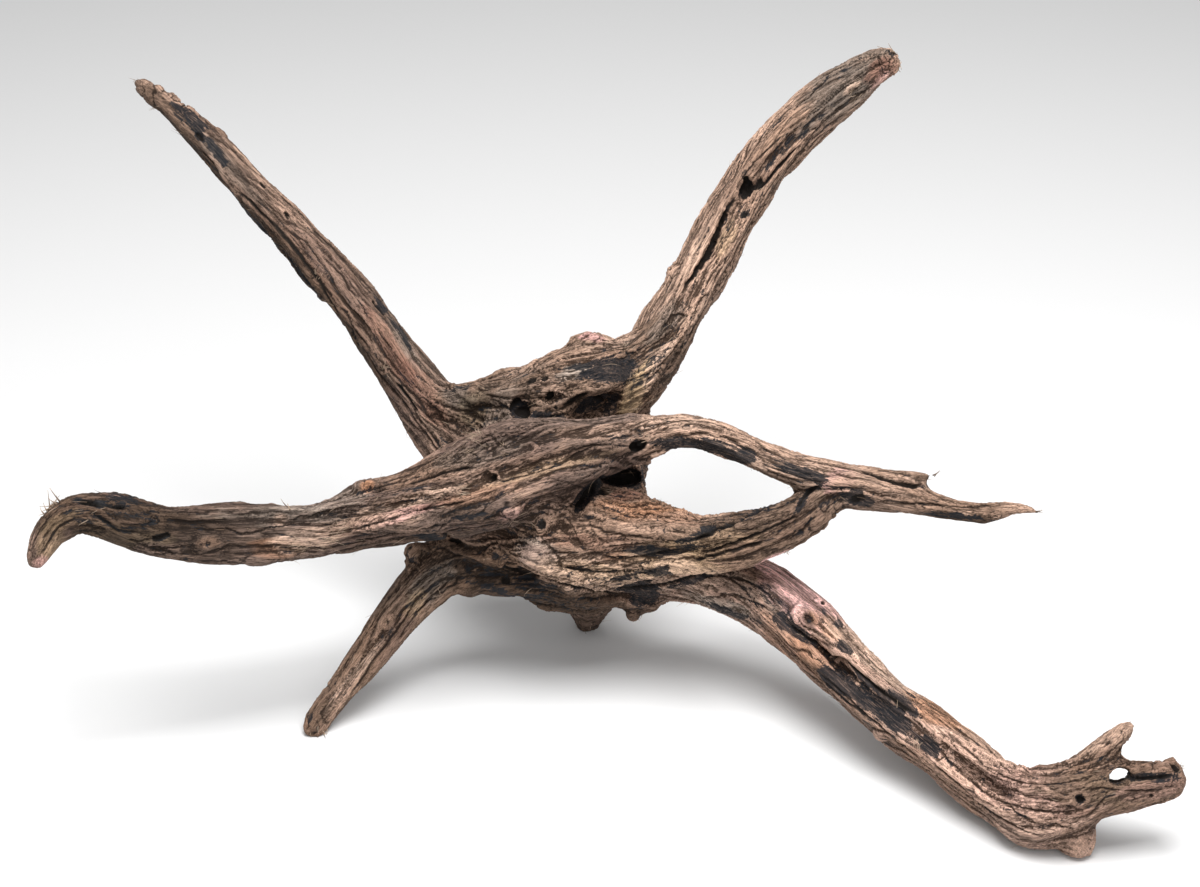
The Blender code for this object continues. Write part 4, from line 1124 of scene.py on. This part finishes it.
def piece_from(name, skin, relief, chosen, outward):
    """One piece of the skin, with its own places, colours and ways, closed at its partings."""
    used, faces = np.unique(skin.faces[chosen], return_inverse=True)
    mesh = bpy.data.meshes.new(name)
    mesh.from_pydata(relief.even[used].tolist(), [], faces.reshape(-1, 4).tolist())
    named_values(mesh, "grain", "FLOAT_VECTOR", "vector", relief.grain[used])
    tone = np.column_stack([relief.tone[used], np.ones(len(used))])
    named_values(mesh, "tone", "FLOAT_COLOR", "color", tone)
    for key in ("shade", "strand", "black", "dark", "flaky"):
        named_values(mesh, key, "FLOAT", "value", getattr(relief, key)[used])
    closed_off(mesh)
    piece = bpy.data.objects.new(name, mesh)
    bpy.context.scene.collection.objects.link(piece)
    unrolled(piece)
    mesh.vertices.foreach_set("co", skin.place[used].astype(np.float32).ravel())
    mesh.shade_smooth()
    mesh.normals_split_custom_set_from_vertices(outward[used].tolist())
    return piece


class Fibre:
    """One splinter's shape, standing on its thick end, copied and bent to every place."""

    def __init__(self, rings=5, sides=5):
        bpy.ops.object.select_all(action="DESELECT")
        bpy.ops.mesh.primitive_circle_add(vertices=sides, radius=1.0, fill_type="NGON")
        model = bpy.context.object
        bpy.ops.object.mode_set(mode="EDIT")
        bpy.ops.mesh.select_all(action="SELECT")
        for _ in range(rings):
            bpy.ops.mesh.extrude_region_move(TRANSFORM_OT_translate={"value": (0, 0, 1.0 / rings)})
            bpy.ops.transform.resize(value=(TAPER, TAPER, 1.0))
        bpy.ops.mesh.select_all(action="SELECT")
        bpy.ops.mesh.normals_make_consistent(inside=False)
        bpy.ops.object.mode_set(mode="OBJECT")
        self.points = np.array([tuple(vertex.co) for vertex in model.data.vertices])
        self.faces = sorted(tuple(face.vertices) for face in model.data.polygons)
        bpy.data.objects.remove(model)

    def bent(self, root, way, out, length, thick, bend):
        """The splinter's points, from its root, lifting off the skin as it goes."""
        side = np.cross(way, out)
        side /= max(np.linalg.norm(side), 1e-9)
        up = np.cross(side, way)
        z = self.points[:, 2:3]
        middle = root + way * (z * length) + up * (bend[0] * z * z) + side * (bend[1] * z * z)
        flat = self.points[:, 1:2] * thick * FLATNESS
        return middle + side * (self.points[:, :1] * thick) + up * flat


def splinter_rows(tree, spines, draw, loose):
    """Every splinter: where it stands, its way, the skin's outward way, length, thickness."""
    rows = []
    for u, v, degrees, spread, length, thick, count in SPLINTERS:
        for _ in range(count):
            spot = skin_at(tree, u + draw.normal(0, SCATTER), v + draw.normal(0, SCATTER))
            out = np.array(tree.find_nearest(spot)[1])
            angle = math.radians(degrees + draw.normal(0, spread * 0.5))
            way = np.array(ACROSS) * math.cos(angle) + np.array(UP) * math.sin(angle)
            rows.append((spot, way, out, length * draw.uniform(0.5, 1.2), thick))
    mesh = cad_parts[NODE].data
    size = np.array([face.area for face in mesh.polygons])
    for at in draw.choice(len(size), loose, p=size / size.sum()):
        face = mesh.polygons[int(at)]
        spot, out = np.array(face.center), np.array(face.normal)
        way = spines.near(spot[None])[0][0] * draw.choice((-1, 1))
        way = way / np.linalg.norm(way) + 0.25 * draw.normal(0, 1, 3)
        length, thick = draw.uniform(*LOOSE_LENGTH), draw.uniform(*LOOSE_THICKNESS)
        rows.append((spot, way, out, length, thick))
    return rows


class Wire:
    """A number that varies over the surface; arithmetic on it adds Math nodes."""

    def __init__(self, finish, socket):
        self.finish, self.socket = finish, socket

    def math(self, operation, *parts):
        made = self.finish.add("ShaderNodeMath", {"operation": operation}, dict(enumerate(parts)))
        return Wire(self.finish, made.outputs[0])

    def __add__(self, other):
        return self.math("ADD", self, other)

    def __sub__(self, other):
        return self.math("SUBTRACT", self, other)

    def __rsub__(self, other):
        return self.math("SUBTRACT", other, self)

    def __mul__(self, other):
        return self.math("MULTIPLY", self, other)

    def __abs__(self):
        return self.math("ABSOLUTE", self)

    __radd__, __rmul__ = __add__, __mul__

    def between(self, low, high):
        """0 below low, 1 above high, and a smooth rise between."""
        made = self.finish.add(
            "ShaderNodeMapRange", {"interpolation_type": "SMOOTHSTEP"},
            {"Value": self, "From Min": low, "From Max": high},
        )
        return Wire(self.finish, made.outputs[0])


class Finish:
    """A material and the nodes that are added to it."""

    def __init__(self, name):
        self.material = bpy.data.materials.new(name)
        self.material.use_nodes = True
        self.tree = self.material.node_tree
        self.shader = self.tree.nodes["Principled BSDF"]

    def link(self, socket, value):
        """Set a socket to a value or colour, or join it to what feeds it."""
        if isinstance(value, Wire):
            value = value.socket
        if isinstance(value, bpy.types.NodeSocket):
            self.tree.links.new(value, socket)
        elif socket.type == "RGBA":
            socket.default_value = (*value[:3], 1.0)
        else:
            socket.default_value = value

    def add(self, kind, settings, inputs):
        """A node of this kind, with its settings and the values or links of its sockets."""
        made = self.tree.nodes.new(kind)
        for key, value in settings.items():
            setattr(made, key, value)
        for key, value in inputs.items():
            self.link(made.inputs[key], value)
        return made

    def stored(self, name, output="Fac"):
        """A value that the mesh holds under a name."""
        made = self.add("ShaderNodeAttribute", {"attribute_name": name}, {})
        return made.outputs[output] if output != "Fac" else Wire(self, made.outputs["Fac"])

    def noise(self, vector, along, across, detail, rough):
        """Noise from 0 to 1, whose lumps have these sizes in metres along and across."""
        scale = (1.0 / along, 1.0 / across, 1.0 / across)
        scaled = self.add("ShaderNodeMapping", {}, {"Vector": vector, "Scale": scale})
        inputs = {"Vector": scaled.outputs[0], "Scale": 1.0, "Detail": detail, "Roughness": rough}
        return Wire(self, self.add("ShaderNodeTexNoise", {}, inputs).outputs["Fac"])

    def mix(self, share, a, b, blend="MIX"):
        """Colour a going over to colour b."""
        settings = {"data_type": "RGBA", "blend_type": blend, "clamp_factor": True}
        made = self.add("ShaderNodeMix", settings, {0: share, 6: a, 7: b})
        return made.outputs[2]

    def surface(self, colour, rough, height, strength, distance):
        """Give the material its colour, roughness and bumps."""
        inputs = {"Strength": strength, "Distance": distance, "Height": height}
        bump = self.add("ShaderNodeBump", {}, inputs)
        ends = {"Base Color": colour, "Roughness": rough, "Normal": bump.outputs[0]}
        for key, value in {**ends, "Specular IOR Level": GLOSS}.items():
            self.link(self.shader.inputs[key], value)


def wood_finish(settings):
    """Weathered wood: streaks along the grain, furrows and crests darkened and paled partly as
    painted shade and highlight, stains and scars with some painted shadow.
    """
    f = Finish("weathered wood")
    place = f.add("ShaderNodeTexCoord", {}, {}).outputs["Object"]
    grain, tone = f.stored("grain", "Vector"), f.stored("tone", "Color")
    shade, strand, black, dark, flaky = (
        f.stored(name) for name in ("shade", "strand", "black", "dark", "flaky")
    )
    streak, hair, split, thread, flake = (
        f.noise(grain, *sizes) for sizes in (STREAK, HAIR, SPLIT, THREAD, FLAKE)
    )
    blotch, speck = f.noise(place, *BLOTCH), f.noise(place, *SPECK)
    deep, bright, bleach_and_highlight, dirt_and_shade = (
        f.mix(1.0, tone, shift, "MULTIPLY")
        for shift in (
            settings.deep_tone, settings.bright_tone, settings.bleach_and_highlight_tone, settings.dirt_and_shade_tone,
        )
    )
    dirt_and_shade = f.mix(0.25, dirt_and_shade, settings.dirt_and_shade_colour)

    # Streaks, darker and lighter than the tone
    lit = (0.5 + 0.22 * strand + 2.1 * (streak - 0.5) + 0.6 * (blotch - 0.5)).between(0.0, 1.0)
    colour = f.mix(lit, deep, bright)
    # Paler crests and darker creases, by the shape of the skin: partly bleaching and dirt, partly
    # painted highlight and painted shade
    colour = f.mix(shade.between(0.12, 1.0) * 0.76, colour, bleach_and_highlight)
    colour = f.mix((0.0 - shade).between(-0.04, 0.70) * 0.95, colour, dirt_and_shade)
    # Ragged layers
    colour = f.mix(flaky * (split - 0.5).between(0.01, 0.10) * 0.62, colour, bleach_and_highlight)
    colour = f.mix(flaky * (0.5 - split).between(0.03, 0.08) * 0.85, colour, dirt_and_shade)
    # Fine lines, scratches, fibres and specks
    line = 1.0 - abs(streak - 0.5).between(0.0, 0.040)
    scratch = 1.0 - abs(thread - 0.5).between(0.0, 0.045)
    colour = f.mix(line * 0.70, colour, dirt_and_shade)
    colour = f.mix(scratch * 0.68, colour, dirt_and_shade)
    colour = f.mix((hair - speck * 0.4).between(0.34, 0.5) * 0.46, colour, bleach_and_highlight)
    colour = f.mix((0.0 - speck).between(-0.42, -0.30) * 0.28, colour, dirt_and_shade)
    # Black stains with ragged rims, and bare fibres in them; some of the black is painted shadow
    # under the arch
    ragged = 2.2 * (flake - 0.5) + 1.3 * (blotch - 0.5) + 0.9 * (hair - 0.5)
    ragged = ragged + 0.6 * (thread - 0.5) + 0.10 * strand - 0.18 * shade
    soot_and_shadow = (black + ragged).between(0.33, 0.48)
    colour = f.mix(soot_and_shadow * 0.94, colour, settings.stain_and_shadow_colour)
    colour = f.mix(soot_and_shadow * (hair + 0.3 * speck).between(0.64, 0.88) * 0.42, colour, tone)
    # Cracks, holes and the lines under ledges, darkened as painted shade, and the knots' dark rings
    colour = f.mix(dark.between(0.25, 0.95) * 0.94, colour, settings.scar_and_shade_colour)

    rough = 0.80 - 0.16 * soot_and_shadow + 0.2 * (hair - 0.5)
    height = streak * 0.5 + hair * 0.3 + speck * 0.2 - line * 0.30 - scratch * 0.18
    f.surface(colour, rough, height + flaky * split * 0.8, strength=0.8, distance=0.0013)
    return f.material


def fibre_finish(settings):
    """Frayed pale fibres, each a little lighter or darker than the next, darker towards the root.
    """
    f = Finish("frayed fibre")
    place = f.add("ShaderNodeTexCoord", {}, {}).outputs["Object"]
    patch, speck = f.noise(place, *FIBRE_PATCH), f.noise(place, *FIBRE_SPECK)
    colour = f.mix(patch.between(0.35, 0.65), settings.fibre_dark, settings.fibre_pale)
    root = 1.0 - f.stored("reach").between(0.0, 0.7)
    colour = f.mix(root * 0.6, colour, settings.dirt_and_shade_colour)
    colour = f.mix(speck.between(0.55, 0.7) * 0.35, colour, settings.dirt_and_shade_colour)
    f.surface(colour, 0.75 + 0.2 * (speck - 0.5), speck, strength=0.4, distance=0.0003)
    return f.material


def length_setting(name, description, default, **limits):
    """A setting that is a length in metres."""
    return FloatProperty(
        name=name, description=description, default=default, unit="LENGTH", precision=5, **limits
    )


def colour_setting(name, description, default, **limits):
    """A setting that is a colour, or what a colour is multiplied by."""
    return FloatVectorProperty(
        name=name, description=description, default=default, subtype="COLOR", size=3, **limits
    )


class GrainSettings(bpy.types.PropertyGroup):
    """Sizes of the skin's relief."""

    skin_grid: length_setting(
        "Skin grid", "Side of the even grid that the skin is made of",
        0.00102, min=0.0005,
    )
    strand_width: length_setting("Strand width", "Width of the finest strands of grain", 0.0018)
    mighty_depth: length_setting(
        "Long ribs", "Depth of the hollows between the longest ribs", 0.0024
    )
    broad_depth: length_setting(
        "Broad ridges", "Depth of the valleys between broad ridges", 0.0016
    )
    furrow_depth: length_setting("Furrows", "Depth of the furrows along the grain", 0.0009)
    gnarl_depth: length_setting("Gnarls", "Depth of the curls in gnarled places", 0.0012)
    flake_depth: length_setting(
        "Flakes", "Height of the edges of thin ragged layers in flaky places", 0.0015
    )
    shelf_depth: length_setting("Layers", "Height of the edges of weathered layers", 0.0010)
    fine_depth: length_setting("Fine grain", "Depth of the finest grain", 0.00050)
    lump_depth: length_setting("Lumps", "Height of small uneven lumps", 0.00035)
    loose_fibres: IntProperty(
        name="Loose fibres", description="How many fibres have come loose all over the skin",
        default=420, min=0,
    )
    worm_holes: IntProperty(
        name="Worm holes", description="How many small round holes there are", default=45, min=0,
    )


class FinishSettings(bpy.types.PropertyGroup):
    """Colours of the wood's finish."""

    deep_tone: colour_setting(
        "Dark streaks", "What the tone is multiplied by in dark streaks", (0.28, 0.272, 0.27)
    )
    bright_tone: colour_setting(
        "Light streaks", "What the tone is multiplied by in light streaks",
        (1.38, 1.375, 1.38), max=2.0,
    )
    # Crests are paler partly from bleaching, partly as painted highlight
    bleach_and_highlight_tone: colour_setting(
        "Crests", "What the tone is multiplied by on rubbed, bleached crests",
        (1.85, 1.80, 1.77), max=3.0,
    )
    # Furrows are darker partly from dirt, partly as painted shade
    dirt_and_shade_tone: colour_setting(
        "Furrow tone", "What the tone is multiplied by in dirty furrows", (0.17, 0.145, 0.125)
    )
    dirt_and_shade_colour: colour_setting(
        "Furrows", "Dirt-dark furrows between the ridges", (0.030, 0.020, 0.014)
    )
    # Also the black of the painted shadow under the arch
    stain_and_shadow_colour: colour_setting("Stains", "Blue-black stains", (0.0125, 0.0145, 0.0185))
    fibre_pale: colour_setting("Pale fibres", "The palest frayed fibres", (0.56, 0.42, 0.31))
    fibre_dark: colour_setting("Dark fibres", "The darkest frayed fibres", (0.17, 0.11, 0.075))
    # Painted shade inside cracks and holes and under ledges, and the colour of the knots' dark
    # rings
    scar_and_shade_colour: colour_setting("Cracks", "Inside of cracks and holes", (0.012, 0.009, 0.007))


class StageSettings(bpy.types.PropertyGroup):
    """The floor and the lights."""

    floor_colour: colour_setting("Floor", "The pale floor", (0.80, 0.80, 0.80))
    key_power: FloatProperty(
        name="Key light", description="Power of the large light above the root", default=58.0,
    )
    fill_power: FloatProperty(
        name="Fill light", description="Power of the light beside the eye", default=13.0,
    )
    sky: FloatProperty(
        name="Sky", description="Strength of the light from all round", default=0.35,
    )


class DRIFTWOOD_OT_skin(bpy.types.Operator):
    """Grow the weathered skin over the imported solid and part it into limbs"""

    bl_idname = "driftwood.skin"
    bl_label = "Grow the Skin"

    def execute(self, context):
        settings = context.scene.driftwood_grain
        copy = closed_copy(settings.skin_grid)
        skin = Skin(copy.data)
        skin.evened(max(FEWEST_ROUNDS, int(ROUNDS * (ROUNDS_GRID / settings.skin_grid) ** 2)))
        copy.data.vertices.foreach_set("co", skin.place.astype(np.float32).ravel())
        copy.data.update()
        relief = Relief(skin, settings, sight_tree(copy))
        bpy.data.objects.remove(copy)
        relief.work()
        outward = skin.outward()
        numbers = part_of_faces(skin, relief)
        material = wood_finish(context.scene.driftwood_finish)
        names = [*MIDDLES, *(part[0] for part in PARTS)]
        for k, name in enumerate(names):
            piece = piece_from(name, skin, relief, numbers == k, outward)
            piece.data.materials.append(material)
            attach(piece, "root")
            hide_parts(NODE)
        return {"FINISHED"}


class DRIFTWOOD_OT_splinters(bpy.types.Operator):
    """Set splinters at the broken tips and loose fibres all over the skin"""

    bl_idname = "driftwood.splinters"
    bl_label = "Set the Splinters"

    def execute(self, context):
        tree = sight_tree(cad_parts[NODE])
        fibre = Fibre()
        draw = np.random.RandomState(5)
        points, faces, reach = [], [], []
        rows = splinter_rows(tree, Spines(), draw, context.scene.driftwood_grain.loose_fibres)
        for spot, way, out, length, thick in rows:
            way = way - out * (way @ out) * LAID
            way = way / np.linalg.norm(way) + out * draw.uniform(*LIFT)
            way /= np.linalg.norm(way)
            bend = draw.normal(*BEND, 2) * length * MM
            root = spot - way * ROOT_DEPTH * MM - out * ROOT_SUNK * MM
            start = len(points) * len(fibre.points)
            length = (length + ROOT_DEPTH) * MM
            points.append(fibre.bent(root, way, out, length, thick * MM, bend))
            faces += [tuple(start + corner for corner in face) for face in fibre.faces]
            reach.append(fibre.points[:, 2])
        mesh = bpy.data.meshes.new("splinters")
        points = np.concatenate(points)
        points[:, 2] = np.maximum(points[:, 2], 0.0)
        mesh.from_pydata(points.tolist(), [], faces)
        named_values(mesh, "reach", "FLOAT", "value", np.concatenate(reach))
        mesh.materials.append(fibre_finish(context.scene.driftwood_finish))
        mesh.shade_smooth()
        piece = bpy.data.objects.new("splinters", mesh)
        context.scene.collection.objects.link(piece)
        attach(piece, "root")
        return {"FINISHED"}


class DRIFTWOOD_OT_stage(bpy.types.Operator):
    """Lay the pale floor, hang the soft lights and set the eye where the root is seen from"""

    bl_idname = "driftwood.stage"
    bl_label = "Set the Stage"

    def execute(self, context):
        settings = context.scene.driftwood_stage
        bpy.ops.object.select_all(action="DESELECT")
        place, side = FLOOR
        bpy.ops.mesh.primitive_plane_add(size=side, location=place)
        floor = context.object
        floor.name = "floor"
        bpy.ops.object.transform_apply(location=True)
        finish = Finish("pale floor")
        finish.shader.inputs["Base Color"].default_value = (*settings.floor_colour, 1.0)
        finish.shader.inputs["Roughness"].default_value = 0.9
        floor.data.materials.append(finish.material)
        self.light("key", *KEY_LIGHT, settings.key_power)
        self.light("fill", *FILL_LIGHT, settings.fill_power)
        world = bpy.data.worlds.new("studio")
        world.use_nodes = True
        background = world.node_tree.nodes["Background"]
        background.inputs["Color"].default_value = (1.0, 1.0, 1.0, 1.0)
        background.inputs["Strength"].default_value = settings.sky
        context.scene.world = world
        context.scene.view_settings.view_transform = "Standard"
        self.eye(context)
        return {"FINISHED"}

    def light(self, name, place, side, power):
        """A square soft light at this place, turned to the root."""
        bpy.ops.object.light_add(type="AREA", location=place)
        lamp = bpy.context.object
        lamp.name = name
        lamp.data.size = side
        lamp.data.energy = power
        lamp.rotation_euler = (BOARD_CENTRE - Vector(place)).to_track_quat("-Z", "Y").to_euler()

    def eye(self, context):
        """The camera, square to the board."""
        bpy.ops.object.camera_add(location=EYE)
        camera = context.object
        camera.name = "eye"
        camera.rotation_euler = AWAY.to_track_quat("-Z", "Y").to_euler()
        camera.data.sensor_width = SENSOR
        camera.data.lens = SENSOR * EYE_REACH / (VIEW_WIDE * VIEW_STEP * MM)
        camera.data.clip_end = FARTHEST
        context.scene.camera = camera


class DRIFTWOOD_PT_panel(bpy.types.Panel):
    """The driftwood's settings and steps"""

    bl_label = "Driftwood Root"
    bl_space_type = "VIEW_3D"
    bl_region_type = "UI"
    bl_category = "Driftwood"

    def draw(self, context):
        for group in SETTINGS:
            box = self.layout.box()
            settings = getattr(context.scene, group)
            for key in SETTINGS[group].__annotations__:
                box.prop(settings, key)
        for step in STEPS:
            self.layout.operator(step.bl_idname)


SETTINGS = {
    "driftwood_grain": GrainSettings,
    "driftwood_finish": FinishSettings,
    "driftwood_stage": StageSettings,
}
STEPS = (DRIFTWOOD_OT_skin, DRIFTWOOD_OT_splinters, DRIFTWOOD_OT_stage)


def register():
    for kind in (*SETTINGS.values(), *STEPS, DRIFTWOOD_PT_panel):
        bpy.utils.register_class(kind)
    for name, kind in SETTINGS.items():
        setattr(bpy.types.Scene, name, PointerProperty(type=kind))


def unregister():
    for name in SETTINGS:
        delattr(bpy.types.Scene, name)
    for kind in reversed((*SETTINGS.values(), *STEPS, DRIFTWOOD_PT_panel)):
        bpy.utils.unregister_class(kind)


def main():
    """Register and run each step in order."""
    register()
    bpy.ops.driftwood.skin()
    bpy.ops.driftwood.splinters()
    bpy.ops.driftwood.stage()


if __name__ == "__main__":
    main()
